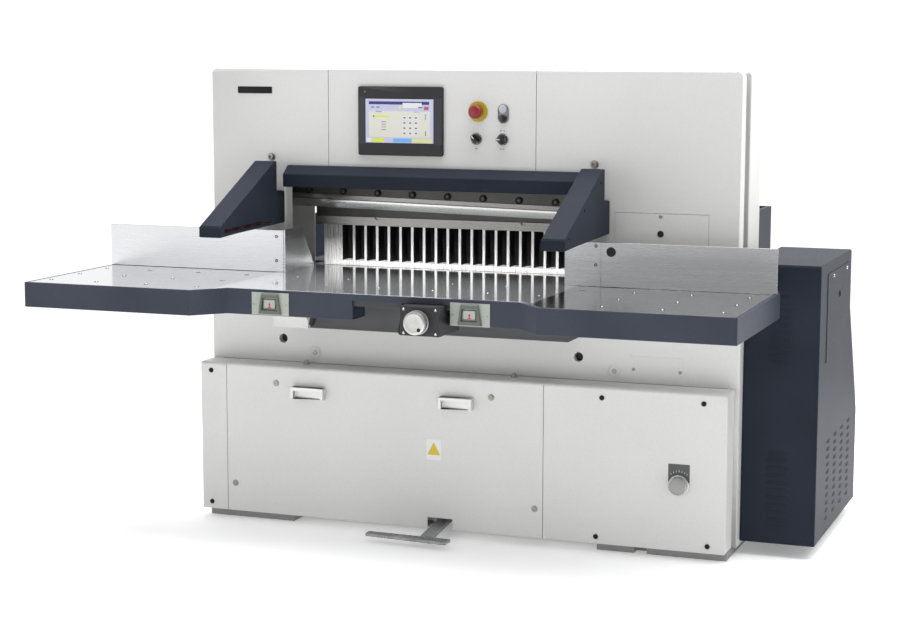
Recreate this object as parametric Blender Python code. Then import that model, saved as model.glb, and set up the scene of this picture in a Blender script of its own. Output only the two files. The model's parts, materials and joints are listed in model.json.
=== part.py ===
"""Programmable guillotine paper cutter, about 1.1 m cutting width, as an assembly of separate pieces.

Metres, +Z up. The machine's own axes are X to the operator's right, Y from the operator to the back,
with Y = 0 on the front plane of the upper housing and Z = 0 on the floor. Everything hangs under one
empty that moves the middle of the whole footprint onto the world's origin.
"""
import math

import bmesh
import bpy
from mathutils import Matrix, Vector

GAP = 0.0003
SHEET = 0.003

# Overall reach of the machine: the tables left and front, the cabinet right, the rear guard behind.
TABLE_LEFT = -1.330
TABLE_RIGHT = 1.106
TABLE_FRONT = -0.673
CABINET_RIGHT = 1.224
GUARD_REAR = 1.420

# Upper housing and body.
BODY_HALF = 0.970
BODY_TOP = 1.610
HOUSING_HALF = 0.960
COVER_DEPTH = 0.056
HOUSING_FRONT = 0.136
HOUSING_REAR = 0.305
HOUSING_BOTTOM = 0.8445
CORNER = 0.022
LEFT_SEAM = -0.507
RIGHT_SEAM = 0.2575
SEAM = 0.0018
THROAT_TOP = 1.198
THROAT_LEFT = -0.675
THROAT_RIGHT = 0.447

# Lower body, covers and feet.
LEDGE_TOP = 0.567
COVER_FRONT = -0.104
COVER_BOTTOM = 0.030
BASE_FLOOR = 0.090
BASE_REAR = 0.830

# Tables.
CUT_CENTRE = -0.112
TABLE_TOP = 0.900
TABLE_THICK = 0.040
MAIN_FRONT = -0.574
MAIN_HALF = 0.548
REAR_HALF = 0.750
TRIM = 0.012
TRIM_HEIGHT = 0.084
OUTER_CORNER = 0.595
INNER_CORNER = 0.508
FENCE_FRONT = -0.094
FENCE_TOP = 1.048
GUIDE_LEFT = -0.640

# Knife: it slides down and to the right along a slope, and its beam levels about a pin as it comes down.
KNIFE_PIN = (0.545, 0.1498, 1.170)
KNIFE_TILT = math.radians(1.2)
KNIFE_SLOPE = math.radians(20)
BEAM_FRONT = 0.150
BEAM_REAR = 0.1747
KNIFE_REAR = 0.187
BEAM_LIP = -0.052
KNIFE_EDGE = -0.0835
BOLT_PITCH = 0.1329
FIRST_BOLT = -0.649

# Clamp and backgauge.
CLAMP_FRONT = 0.1905
CLAMP_REAR = 0.236
CLAMP_BOTTOM = 1.047
CLAMP_TOP = 1.370
GAUGE_FACE = 0.246
FINGER_PITCH = 0.0457
FIRST_FINGER = -0.564
FINGERS = 21
SCREW_HEIGHT = 0.790
SCREW_RADIUS = 0.016

# Controls as (x, z) centres: upper panel, tables' front, right cover. The pedal's pin is (y, z).
ESTOP = (0.050, 1.469)
START = (0.141, 1.478)
STOP = (0.141, 1.446)
SELECTORS = {"left": (0.044, 1.376), "right": (0.139, 1.376)}
CUT_BUTTONS = {"left": (-0.4615, 0.855), "right": (0.2325, 0.853)}
HANDWHEEL = (0.078, 0.829)
PRESSURE_KNOB = (0.797, 0.253)
PEDAL_PIVOT = (-0.030, 0.052)

# Each look is a base colour, a roughness and a metallic value.
LOOKS = {
    "light_paint": ((0.66, 0.66, 0.65), 0.45, 0.0),
    "blue_paint": ((0.030, 0.038, 0.055), 0.45, 0.0),
    "stainless": ((0.55, 0.55, 0.56), 0.32, 1.0),
    "polished": ((0.62, 0.62, 0.62), 0.10, 1.0),
    "cast": ((0.10, 0.105, 0.11), 0.60, 0.4),
    "steel": ((0.45, 0.45, 0.46), 0.25, 1.0),
    "black": ((0.020, 0.020, 0.022), 0.50, 0.0),
    "red": ((0.45, 0.02, 0.02), 0.35, 0.0),
    "yellow": ((0.75, 0.60, 0.03), 0.40, 0.0),
    "white": ((0.80, 0.80, 0.80), 0.35, 0.0),
    "screen": ((0.70, 0.74, 0.80), 0.20, 0.0),
    "grey_green": ((0.48, 0.52, 0.47), 0.50, 0.0),
}


def point(axis, along, u, v):
    return {"X": (along, u, v), "Y": (u, along, v), "Z": (u, v, along)}[axis]


def finish(obj, look):
    colour, roughness, metallic = LOOKS[look]
    material = bpy.data.materials.new(obj.name)
    material.use_nodes = True
    shader = material.node_tree.nodes["Principled BSDF"]
    shader.inputs["Base Color"].default_value = (*colour, 1.0)
    shader.inputs["Roughness"].default_value = roughness
    shader.inputs["Metallic"].default_value = metallic
    obj.data.materials.append(material)


def make_object(name, bm, look, origin=(0, 0, 0), smooth=False):
    """Object whose origin is a point in the machine's axes. With no look it is a hidden helper."""
    bmesh.ops.recalc_face_normals(bm, faces=bm.faces)
    bmesh.ops.translate(bm, verts=bm.verts, vec=-Vector(origin))
    mesh = bpy.data.meshes.new(name)
    bm.to_mesh(mesh)
    bm.free()
    obj = bpy.data.objects.new(name, mesh)
    obj.location = origin
    obj.parent = machine
    bpy.context.scene.collection.objects.link(obj)
    if look:
        finish(obj, look)
    else:
        obj.hide_render = True
        obj.display_type = "WIRE"
    if smooth:
        mesh.shade_smooth()
        mesh.set_sharp_from_angle(angle=math.radians(35))
    return obj


def extrude(bm, outline, axis, start, end):
    corners = [bm.verts.new(point(axis, start, u, v)) for u, v in outline]
    face = bm.faces.new(corners)
    grown = bmesh.ops.extrude_face_region(bm, geom=[face])["geom"]
    moved = [item for item in grown if isinstance(item, bmesh.types.BMVert)]
    bmesh.ops.translate(bm, verts=moved, vec=Vector(point(axis, end - start, 0, 0)))


def prism(name, outline, axis, start, end, look=None, origin=(0, 0, 0), smooth=False):
    """Closed outline in the plane across an axis, extruded along it."""
    bm = bmesh.new()
    extrude(bm, outline, axis, start, end)
    return make_object(name, bm, look, origin, smooth)


def box(name, xs, ys, zs, look=None, origin=(0, 0, 0)):
    corners = [(xs[0], ys[0]), (xs[1], ys[0]), (xs[1], ys[1]), (xs[0], ys[1])]
    return prism(name, corners, "Z", zs[0], zs[1], look, origin)


def circle(centre, radius, steps=24):
    angles = [2 * math.pi * i / steps for i in range(steps)]
    return [(centre[0] + radius * math.cos(a), centre[1] + radius * math.sin(a)) for a in angles]


def rod(name, centre, radius, axis, start, end, look=None, origin=(0, 0, 0), steps=24):
    return prism(name, circle(centre, radius, steps), axis, start, end, look, origin, smooth=True)


def rounded(corners, steps=5):
    """Outline with an arc at each corner that is given as (u, v, radius)."""
    outline = []
    count = len(corners)
    for i, corner in enumerate(corners):
        here = Vector(corner[:2])
        if len(corner) == 2:
            outline.append(tuple(here))
            continue
        back = (Vector(corners[i - 1][:2]) - here).normalized()
        ahead = (Vector(corners[(i + 1) % count][:2]) - here).normalized()
        half = back.angle(ahead) / 2
        centre = here + (back + ahead).normalized() * corner[2] / math.sin(half)
        first = here + back * corner[2] / math.tan(half) - centre
        last = here + ahead * corner[2] / math.tan(half) - centre
        for step in range(steps + 1):
            arm = first.slerp(last, step / steps).normalized() * corner[2]
            outline.append(tuple(centre + arm))
    return outline


def inset(outline, depth):
    """The outline moved inwards by a wall's thickness, for a counter-clockwise outline."""
    moved = []
    count = len(outline)
    for i in range(count):
        before, here, after = (Vector(outline[(i + k) % count]) for k in (-1, 0, 1))
        first = (here - before).normalized()
        second = (after - here).normalized()
        inward = Vector((-first.y, first.x)) + Vector((-second.y, second.x))
        moved.append(tuple(here + inward * depth / (1 + first.dot(second))))
    return moved


def boolean(base, others, operation):
    for other in others:
        modifier = base.modifiers.new(other.name, "BOOLEAN")
        modifier.operation = operation
        modifier.object = other
        modifier.solver = "EXACT"


def cut(base, *cutters):
    boolean(base, cutters, "DIFFERENCE")


def join(base, *others):
    boolean(base, others, "UNION")


def bevel(obj, width, segments=2):
    modifier = obj.modifiers.new("edge", "BEVEL")
    modifier.width = width
    modifier.segments = segments
    modifier.limit_method = "ANGLE"


def front_shell(name, outline, wall=SHEET):
    """Pressed cover with its face on Y = 0, side walls to COVER_DEPTH and an open back."""
    shell = prism(name, outline, "Y", 0, COVER_DEPTH, "light_paint")
    cut(shell, prism(name + "_hollow", inset(outline, wall), "Y", wall, COVER_DEPTH + wall))
    return shell


# Frame: feet, base, two side frames and the crossbeam that ties them.


def make_feet():
    box("left_foot", (-0.952, -0.619), (-0.070, BASE_REAR - 0.03), (0, COVER_BOTTOM - GAP), "cast")
    notch = [(0.507, -0.070), (0.638, -0.070), (0.638, -0.030), (0.681, -0.030), (0.681, -0.070)]
    notch += [(0.954, -0.070), (0.954, BASE_REAR - 0.03), (0.507, BASE_REAR - 0.03)]
    prism("right_foot", notch, "Z", 0, COVER_BOTTOM - GAP, "cast")


def make_base():
    """Tray with side walls and a taller back wall, and in front two ears with the pedal's pin."""
    wall = 0.040
    inner = BODY_HALF - wall
    outline = [(-BODY_HALF, COVER_BOTTOM), (BODY_HALF, COVER_BOTTOM), (BODY_HALF, LEDGE_TOP)]
    outline += [(inner, LEDGE_TOP), (inner, BASE_FLOOR), (-inner, BASE_FLOOR)]
    outline += [(-inner, LEDGE_TOP), (-BODY_HALF, LEDGE_TOP)]
    base = prism("base_frame", outline, "Y", SHEET, BASE_REAR, "cast")
    ears = [box(f"pedal_ear_{x}", (x, x + 0.008), (-0.046, SHEET + 0.01), (0.036, 0.070))
            for x in (-0.092, -0.012)]
    pin = rod("pedal_pin", PEDAL_PIVOT, 0.006, "X", -0.088, -0.008, steps=16)
    back_half = BODY_HALF - SHEET - GAP
    back = box("base_back", (-back_half, back_half), (0.815, BASE_REAR), (0.08, 0.745))
    join(base, *ears, pin, back)


def make_side_frames():
    outline = [(0.020, BASE_FLOOR + GAP), (0.800, BASE_FLOOR + GAP), (0.800, 0.800), (0.290, 0.800)]
    outline += [(0.290, 1.560), (0.180, 1.560), (0.180, 0.250), (0.020, 0.250)]
    for name, left in (("left_side_frame", -0.895), ("right_side_frame", 0.620)):
        prism(name, outline, "X", left, left + 0.060, "cast")


def make_crossbeam():
    box("crossbeam", (-0.835 + GAP, 0.620 - GAP), (0.245, 0.288), (1.320, 1.540), "cast")


# Tables, trims and fences.


def offset_path(path, side, depth):
    """Path moved to its left (1) or its right (-1), with mitred corners."""
    points = [Vector(p) for p in path]
    moved = []
    for i, here in enumerate(points):
        first = (here - points[i - 1]).normalized() if i else (points[1] - here).normalized()
        second = (points[i + 1] - here).normalized() if i + 1 < len(points) else first
        across = Vector((-first.y, first.x)) + Vector((-second.y, second.x))
        moved.append(tuple(here + across * side * depth / (1 + first.dot(second))))
    return moved


def table_edge(side, end, stop):
    """Outer edge of one half of the tables, from its rear corner round the front to x = stop."""
    return [(end, -0.040), (end, TABLE_FRONT), (CUT_CENTRE + side * OUTER_CORNER, TABLE_FRONT),
            (CUT_CENTRE + side * INNER_CORNER, MAIN_FRONT), (stop, MAIN_FRONT)]


def plate_edge(side, end):
    """The tables' edge inside the trim: rear corner, front corner, slope's ends and slope at the seam."""
    edge = offset_path(table_edge(side, end, CUT_CENTRE), -side, TRIM + GAP)
    low, high = Vector(edge[2]), Vector(edge[3])
    seam = CUT_CENTRE + side * MAIN_HALF
    return edge, lambda x: tuple(low.lerp(high, (seam + side * x - low.x) / (high.x - low.x)))


def make_main_table():
    """Bed that runs from the operator to the rear, slotted for the gauge, with lugs for its screw."""
    left_edge, left_slope = plate_edge(-1, TABLE_LEFT)
    right_edge, right_slope = plate_edge(1, TABLE_RIGHT)
    rear = GUARD_REAR - 0.025
    waist = HOUSING_REAR + GAP
    outline = [left_slope(0), left_edge[3], right_edge[3], right_slope(0)]
    outline += [(CUT_CENTRE + MAIN_HALF, waist), (REAR_HALF, waist), (REAR_HALF, rear)]
    outline += [(-REAR_HALF, rear), (-REAR_HALF, waist), (CUT_CENTRE - MAIN_HALF, waist)]
    table = prism("main_table", outline, "Z", TABLE_TOP - TABLE_THICK, TABLE_TOP, "polished")
    bed = box("table_bed", (-0.659, 0.415), (-0.120, -GAP), (0.712, TABLE_TOP - 0.030))
    lugs = [box(f"screw_lug_{y}", (CUT_CENTRE - 0.04, CUT_CENTRE + 0.04), (y, y + 0.018), (0.750, 0.870))
            for y in (0.262, 1.2615)]
    join(table, bed, *lugs)
    slot = box("gauge_slot", (CUT_CENTRE - 0.025, CUT_CENTRE + 0.025), (0.290, 1.255), (0.80, 1.0))
    groove = box("stick_groove", (-0.7, 0.5), (0.179, 0.195), (TABLE_TOP - 0.0115, 1.0))
    bore = rod("screw_bore", (CUT_CENTRE, SCREW_HEIGHT), SCREW_RADIUS + 0.0005, "Y", 0.25, 1.29)
    cut(table, slot, groove, bore)


def make_cutting_stick():
    ends = (CUT_CENTRE - MAIN_HALF, CUT_CENTRE + MAIN_HALF)
    box("cutting_stick", ends, (0.1793, 0.1947), (TABLE_TOP - 0.0112, TABLE_TOP - 0.0015), "red")


def make_side_tables():
    for name, side, end in (("left_side_table", -1, TABLE_LEFT), ("right_side_table", 1, TABLE_RIGHT)):
        edge, slope = plate_edge(side, end)
        seam = CUT_CENTRE + side * (MAIN_HALF + GAP)
        outline = [edge[1], edge[2], slope(GAP), (seam, -0.030), (edge[0][0], -0.030)]
        prism(name, outline, "Z", TABLE_TOP - TABLE_THICK, TABLE_TOP - GAP, "stainless")


def make_trims():
    """Painted skirts round the tables. Between the two cut buttons only a low band runs on."""
    low = TABLE_TOP - TRIM_HEIGHT
    trims = []
    for name, side, end, stop in (("left", -1, TABLE_LEFT, -0.172), ("right", 1, TABLE_RIGHT, 0.165)):
        edge = table_edge(side, end, stop)
        outline = edge + offset_path(edge, -side, TRIM)[::-1]
        trims.append(prism(name + "_table_trim", outline, "Z", low, TABLE_TOP, "blue_paint"))
    band = box("trim_band", (-0.173, 0.165 - GAP), (MAIN_FRONT, MAIN_FRONT + TRIM), (0.879, TABLE_TOP))
    join(trims[0], band)
    for trim, name in zip(trims, ("left", "right")):
        x, z = CUT_BUTTONS[name]
        cut(trim, box(name + "_button_window", (x - 0.0215, x + 0.0215), (-0.6, -0.5),
                      (z - 0.0155, z + 0.0155)))


def fence_profile():
    """Upright sheet with a foot turned back along the table."""
    back = FENCE_FRONT + 0.006
    low = TABLE_TOP + GAP
    return [(FENCE_FRONT, low), (-0.050, low), (-0.050, low + 0.006), (back, low + 0.006),
            (back, FENCE_TOP), (FENCE_FRONT, FENCE_TOP)]


def make_fences():
    prism("left_fence", fence_profile(), "X", TABLE_LEFT, GUIDE_LEFT - 0.001, "stainless")
    right = prism("right_fence", fence_profile(), "X", 0.518, TABLE_RIGHT, "stainless")
    cut(right, rod("fence_hole", (0.552, 1.017), 0.009, "Y", -0.2, 0.0, steps=16))
    prism("right_inner_guide", fence_profile(), "X", 0.392, 0.518 - 0.001, "stainless")
    low = TABLE_TOP + GAP
    side = [(FENCE_FRONT, low), (0.1735, low), (0.1735, 0.926), (0.146, 0.930), (0.137, 1.050)]
    side += [(FENCE_FRONT, 1.050)]
    prism("left_inner_guide", side, "X", GUIDE_LEFT, GUIDE_LEFT + 0.006, "stainless")


# Upper housing, front covers and the body below the tables.


def make_upper_covers():
    low = THROAT_TOP + GAP
    left = [(-HOUSING_HALF, HOUSING_BOTTOM), (THROAT_LEFT, HOUSING_BOTTOM), (THROAT_LEFT, low)]
    left += [(LEFT_SEAM - SEAM / 2, low), (LEFT_SEAM - SEAM / 2, BODY_TOP), (-HOUSING_HALF, BODY_TOP, CORNER)]
    front_shell("left_upper_cover", rounded(left))
    right = [(THROAT_RIGHT, HOUSING_BOTTOM), (HOUSING_HALF, HOUSING_BOTTOM), (HOUSING_HALF, BODY_TOP, CORNER)]
    right += [(RIGHT_SEAM + SEAM / 2, BODY_TOP), (RIGHT_SEAM + SEAM / 2, low), (THROAT_RIGHT, low)]
    cover = front_shell("right_upper_cover", rounded(right))
    cut(cover, box("door_window", (0.5365, 0.857), (-0.01, 0.01), (1.000, 1.141)))
    door = box("access_door", (0.5375, 0.856), (0, SHEET), (1.001, 1.140), "light_paint")
    cut(door, rod("door_hole", (0.694, 1.073), 0.010, "Y", -0.01, 0.01, steps=16))


def make_control_panel():
    low = THROAT_TOP + GAP
    left = LEFT_SEAM + SEAM / 2
    right = RIGHT_SEAM - SEAM / 2
    panel = front_shell("control_panel", [(left, low), (right, low), (right, BODY_TOP), (left, BODY_TOP)])
    holes = {"estop": (ESTOP, 0.0105), "start": (START, 0.0095), "stop": (STOP, 0.0095)}
    holes.update({f"selector_{side}": (centre, 0.0085) for side, centre in SELECTORS.items()})
    cut(panel, *[rod(f"{name}_hole", centre, radius, "Y", -0.01, 0.01, steps=16)
                 for name, (centre, radius) in holes.items()])


def make_rear_housing():
    """Deep rear shell with a narrower neck towards the front covers, open behind over the table."""
    outer = rounded([(-HOUSING_HALF, HOUSING_BOTTOM), (HOUSING_HALF, HOUSING_BOTTOM),
                     (HOUSING_HALF, BODY_TOP, CORNER), (-HOUSING_HALF, BODY_TOP, CORNER)])
    step = 0.022
    neck_half = HOUSING_HALF - step
    neck_top = BODY_TOP - step
    narrow = rounded([(-neck_half, HOUSING_BOTTOM), (neck_half, HOUSING_BOTTOM),
                      (neck_half, neck_top, CORNER), (-neck_half, neck_top, CORNER)])
    shell = prism("rear_housing", outer, "Y", HOUSING_FRONT, HOUSING_REAR, "light_paint")
    neck_front = COVER_DEPTH + GAP
    join(shell, prism("housing_neck", narrow, "Y", neck_front, HOUSING_FRONT + 0.001))
    back = HOUSING_REAR - SHEET
    bore_half = neck_half - SHEET
    bore = rounded([(-bore_half, 0.5), (bore_half, 0.5),
                    (bore_half, neck_top - SHEET, CORNER), (-bore_half, neck_top - SHEET, CORNER)])
    cut(shell, prism("neck_hollow", bore, "Y", 0, HOUSING_FRONT + SHEET))
    wide_half = HOUSING_HALF - SHEET
    wide = rounded([(-wide_half, 0.5), (wide_half, 0.5),
                    (wide_half, BODY_TOP - SHEET, CORNER), (-wide_half, BODY_TOP - SHEET, CORNER)])
    cut(shell, prism("wide_hollow", wide, "Y", HOUSING_FRONT + SHEET - 0.0005, back))
    cut(shell, box("rear_throat", (-0.700, 0.480), (0.2, 0.4), (0.8, 1.280)))


def make_lower_panel():
    """Sheet across the body under the tables, with its two sides turned back."""
    inner = BODY_HALF - SHEET
    outline = [(-BODY_HALF, 0), (BODY_HALF, 0), (BODY_HALF, BASE_REAR), (inner, BASE_REAR), (inner, SHEET)]
    outline += [(-inner, SHEET), (-inner, BASE_REAR), (-BODY_HALF, BASE_REAR)]
    panel = prism("lower_body_panel", outline, "Z", LEDGE_TOP + 0.001, HOUSING_BOTTOM - GAP, "light_paint")
    cut(panel, *[rod(f"lifting_hole_{x}", (x, z), 0.0165, "Y", -0.01, 0.02)
                 for x, z in ((-0.689, 0.650), (0.415, 0.645))])


def lower_cover(name, left, right):
    """Deep cover with a rounded upper front edge, open towards the machine."""
    back = -0.0005
    wall = [(COVER_FRONT, COVER_BOTTOM), (back, COVER_BOTTOM), (back, LEDGE_TOP)]
    profile = rounded(wall + [(COVER_FRONT, LEDGE_TOP, 0.012)])
    cover = prism(name, profile, "X", left, right, "light_paint")
    inside = (COVER_FRONT + SHEET, 0.01)
    zs = (COVER_BOTTOM + SHEET, LEDGE_TOP - 0.004)
    cut(cover, box(name + "_hollow", (left + SHEET, right - SHEET), inside, zs))
    return cover


def make_lower_covers():
    lower_cover("left_end_cover", -0.968, -0.867)
    front = lower_cover("front_cover", -0.865, 0.324)
    cut(front, box("pedal_window", (-0.0945, -0.002), (-0.2, 0.05), (0.0, 0.068)))
    right = lower_cover("right_front_cover", 0.326, 0.955)
    cut(right, rod("knob_hole", PRESSURE_KNOB, 0.0085, "Y", -0.2, -0.05, steps=16))


def make_handles():
    """Pull handles: a flat back plate, two posts and a bar with room for the fingers."""
    face = COVER_FRONT - GAP
    for name, left, right in (("left_cover_handle", -0.603, -0.479), ("right_cover_handle", -0.046, 0.074)):
        low, high = 0.457, 0.498
        grip = box(name, (left, right), (face - 0.002, face), (low, high), "steel")
        bar = box(name + "_bar", (left, right), (face - 0.026, face - 0.014), (high - 0.012, high))
        posts = [box(f"{name}_post_{x:.3f}", (x, x + 0.010), (face - 0.026, face - 0.001), (low, high))
                 for x in (left, right - 0.010)]
        join(grip, *posts, bar)


# Dark painted parts: bar over the knife, guard arms, rear guard and the cabinet.


def make_bar_cover():
    profile = [(-GAP, THROAT_TOP), (-0.060, THROAT_TOP), (-0.060, 1.243), (-0.022, 1.272), (-GAP, 1.272)]
    prism("knife_bar_cover", profile, "X", -0.658, 0.437, "blue_paint")


def make_guard_arms():
    """Arms that carry the light beams in front of the opening, deep at the housing and thin at the tip."""
    profile = [(-0.500, 1.055), (-0.367, 1.060), (-GAP, 1.067), (-GAP, 1.180), (-0.062, 1.186)]
    profile += [(-0.062, 1.288), (-0.084, 1.288), (-0.500, 1.094)]
    for name, left in (("left_guard_arm", -0.756), ("right_guard_arm", 0.441)):
        prism(name, profile, "X", left, left + 0.078, "blue_paint")


def make_rear_guard():
    """Channel wall round the rear table."""
    half = REAR_HALF + 0.025
    wall = 0.020
    front = HOUSING_REAR + GAP
    outline = [(-half, front), (-half, GUARD_REAR), (half, GUARD_REAR), (half, front)]
    outline += [(half - wall, front), (half - wall, GUARD_REAR - wall)]
    outline += [(-half + wall, GUARD_REAR - wall), (-half + wall, front)]
    prism("rear_guard", outline, "Z", 0.845, 1.062, "blue_paint")


def make_cabinet():
    """Electrical cabinet beside the machine, open towards it, and its access panel."""
    panel = 0.0017
    side = CABINET_RIGHT - panel - GAP
    profile = [(0.047, 0.045), (0.835, 0.045), (0.835, 0.380), (0.640, 0.778), (0.640, 0.982, 0.008)]
    profile = rounded(profile + [(0.047, 0.982, 0.008)], steps=3)
    shell = prism("electrical_cabinet", profile, "X", BODY_HALF + 0.0005, side, "blue_paint")
    bevel(shell, 0.004)
    cut(shell, prism("cabinet_hollow", inset(profile, SHEET), "X", 0.9, side - SHEET))
    door = box("cabinet_side_panel", (side + GAP, CABINET_RIGHT), (0.170, 0.575), (0.645, 0.944),
               "blue_paint")
    cut(door, rod("lock_hole", (0.400, 0.853), 0.010, "X", 1.0, 1.4, steps=16))


# Controls.


def make_touch_panel():
    bezel = prism("touch_panel_bezel", rounded([(-0.389, 1.313, 0.008), (-0.075, 1.313, 0.008),
                                                (-0.075, 1.551, 0.008), (-0.389, 1.551, 0.008)], steps=3),
                  "Y", -0.012, -GAP, "black")
    cut(bezel, box("screen_pocket", (-0.362, -0.108), (-0.02, -0.0095), (1.356, 1.509)))
    box("touch_screen", (-0.361, -0.109), (-0.0113, -0.0098), (1.357, 1.508), "screen")


def plunger(name, centre, look, head, stem, stem_end):
    """Push button: a head (radius, front, back) and a stem (radius) through the panel."""
    radius, front, back = head
    origin = (centre[0], front, centre[1])
    button = rod(name, centre, radius, "Y", front, back, look, origin)
    join(button, rod(name + "_stem", centre, stem, "Y", back - 0.001, stem_end, origin=origin))
    return button


def make_buttons():
    collar = rod("estop_collar", ESTOP, 0.035, "Y", -0.004, -GAP, "yellow", steps=32)
    cut(collar, rod("collar_hole", ESTOP, 0.0105, "Y", -0.02, 0.02))
    button = plunger("estop_button", ESTOP, "red", (0.025, -0.036, -0.016), 0.0100, 0.020)
    bevel(button, 0.003)
    plunger("start_button", START, "white", (0.0130, -0.010, -0.005), 0.0090, 0.016)
    plunger("stop_button", STOP, "black", (0.0130, -0.010, -0.005), 0.0090, 0.016)


def make_selectors():
    for side, centre in SELECTORS.items():
        name = f"selector_switch_{side}"
        origin = (centre[0], -GAP, centre[1])
        knob = rod(name, centre, 0.0185, "Y", -0.012, -0.0006, "black", origin)
        grip = box(name + "_grip", (centre[0] - 0.0045, centre[0] + 0.0045), (-0.027, -0.0115),
                   (centre[1] - 0.016, centre[1] + 0.016))
        stem = rod(name + "_stem", centre, 0.008, "Y", -0.001, 0.020)
        join(knob, grip, stem)


def make_cut_buttons():
    face = MAIN_FRONT - GAP
    for side, (x, z) in CUT_BUTTONS.items():
        plate = box(f"{side}_cut_button_plate", (x - 0.0665, x + 0.0665), (face - 0.002, face),
                    (z - 0.037, z + 0.037), "grey_green")
        cut(plate, box(f"{side}_plate_window", (x - 0.0215, x + 0.0215), (-0.6, -0.5),
                       (z - 0.0155, z + 0.0155)))
        button = box(f"{side}_cut_button", (x - 0.020, x + 0.020), (MAIN_FRONT - 0.0065, MAIN_FRONT + 0.0075),
                     (z - 0.014, z + 0.014), "red", origin=(x, MAIN_FRONT, z))
        bevel(button, 0.0012, 1)


def make_handwheel():
    """Box of the hand pulse wheel under the table's front edge, its wheel and its short lead."""
    x, z = HANDWHEEL
    front = -0.632
    profile = [(front, 0.785), (-0.450, 0.785), (-0.450, 0.8595), (-0.5625, 0.8595), (-0.5625, 0.8785)]
    housing = prism("handwheel_box", profile + [(front, 0.8785)], "X", 0.018, 0.150, "black")
    cut(housing, rod("wheel_bore", HANDWHEEL, 0.0085, "Y", -0.7, -0.60, steps=16))
    origin = (x, front, z)
    wheel = rod("handwheel", HANDWHEEL, 0.039, "Y", -0.668, front - 0.0015, "steel", origin, steps=48)
    bevel(wheel, 0.003)
    join(wheel, rod("wheel_stem", HANDWHEEL, 0.008, "Y", front - 0.003, -0.605))
    make_cable()


def make_cable():
    """Lead that leaves the table's front band, hangs in a short loop and enters the box's side."""
    route = [(0.001, -0.568, 0.8787), (0.001, -0.568, 0.871), (0.001, -0.572, 0.846), (0.000, -0.588, 0.812),
             (0.001, -0.599, 0.791), (0.005, -0.602, 0.785), (0.010, -0.603, 0.789), (0.014, -0.603, 0.792),
             (0.0177, -0.603, 0.792)]
    curve = bpy.data.curves.new("handwheel_cable", "CURVE")
    curve.dimensions = "3D"
    curve.bevel_depth = 0.003
    curve.bevel_resolution = 2
    curve.use_fill_caps = True
    points = smooth_path([Vector(p) for p in route], 4)
    line = curve.splines.new("POLY")
    line.points.add(len(points) - 1)
    for knot, place in zip(line.points, points):
        knot.co = (*place, 1.0)
    cable = bpy.data.objects.new("handwheel_cable", curve)
    cable.parent = machine
    bpy.context.scene.collection.objects.link(cable)
    finish(cable, "black")


def smooth_path(knots, steps):
    """Points of a Catmull-Rom curve through the knots."""
    ends = [2 * knots[0] - knots[1]] + knots + [2 * knots[-1] - knots[-2]]
    path = []
    for a, b, c, d in zip(ends, ends[1:], ends[2:], ends[3:]):
        for step in range(steps):
            t = step / steps
            path.append((2 * b + (c - a) * t + (2 * a - 5 * b + 4 * c - d) * t**2
                         + (3 * b - a - 3 * c + d) * t**3) / 2)
    return path + [knots[-1]]


def make_pressure_knob():
    face = COVER_FRONT - 0.0006
    origin = (PRESSURE_KNOB[0], COVER_FRONT, PRESSURE_KNOB[1])
    knob = rod("pressure_knob", PRESSURE_KNOB, 0.0365, "Y", face - 0.026, face, "steel", origin, steps=32)
    bevel(knob, 0.003)
    join(knob, rod("knob_stem", PRESSURE_KNOB, 0.008, "Y", face - 0.001, -0.080, origin=origin))


def make_pedal():
    """Tread bar on an arm that swings on the pin between the base's ears."""
    y, z = PEDAL_PIVOT
    origin = (0, y, z)
    tread = prism("foot_pedal", [(-0.270, -0.247), (0.036, -0.272), (0.036, -0.222), (-0.270, -0.212)],
                  "Z", 0.018, 0.030, "cast", origin)
    bevel(tread, 0.003)
    arm = prism("pedal_arm", [(-0.250, 0.020), (-0.214, 0.020), (y, 0.042), (y, 0.058), (-0.230, 0.034)],
                "X", -0.072, -0.030)
    hub = rod("pedal_hub", PEDAL_PIVOT, 0.0125, "X", -0.0835, -0.0125, steps=20)
    join(tread, arm, hub)
    cut(tread, rod("hub_bore", PEDAL_PIVOT, 0.0065, "X", -0.1, 0.0, steps=16))


# Knife, clamp and their cylinders.


def tilted(bm):
    """Turns knife geometry, drawn level, to its rest tilt about the pin."""
    turn = Matrix.Rotation(KNIFE_TILT, 4, "Y")
    bmesh.ops.rotate(bm, verts=bm.verts, cent=Vector(KNIFE_PIN), matrix=turn.to_3x3())


def knife_piece(name, outline, axis, start, end, look=None):
    bm = bmesh.new()
    extrude(bm, outline, axis, start, end)
    tilted(bm)
    return make_object(name, bm, look, KNIFE_PIN)


def make_knife_beam():
    """Beam with a thin lower lip that passes behind the side guide, and its row of clamping bolts."""
    pin_x, _, pin_z = KNIFE_PIN
    profile = [(BEAM_FRONT, BEAM_LIP), (BEAM_REAR, BEAM_LIP), (BEAM_REAR, 0.160), (0.105, 0.160)]
    profile += [(0.105, 0.085), (BEAM_FRONT, 0.085)]
    beam = knife_piece("knife_beam", [(y, pin_z + z) for y, z in profile], "X", -0.790, 0.585, "steel")
    bore = knife_piece("beam_bore", circle((pin_x, pin_z), 0.0185), "Y", 0.1, 0.2)
    bolts = []
    for i in range(8):
        across = FIRST_BOLT + BOLT_PITCH * i
        head = circle((across, pin_z - 0.021), 0.0085, 12)
        bolts.append(knife_piece(f"knife_bolt_{i}", head, "Y", BEAM_FRONT - 0.006, BEAM_FRONT + 0.002))
    cut(beam, bore)
    join(beam, *bolts)


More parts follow.
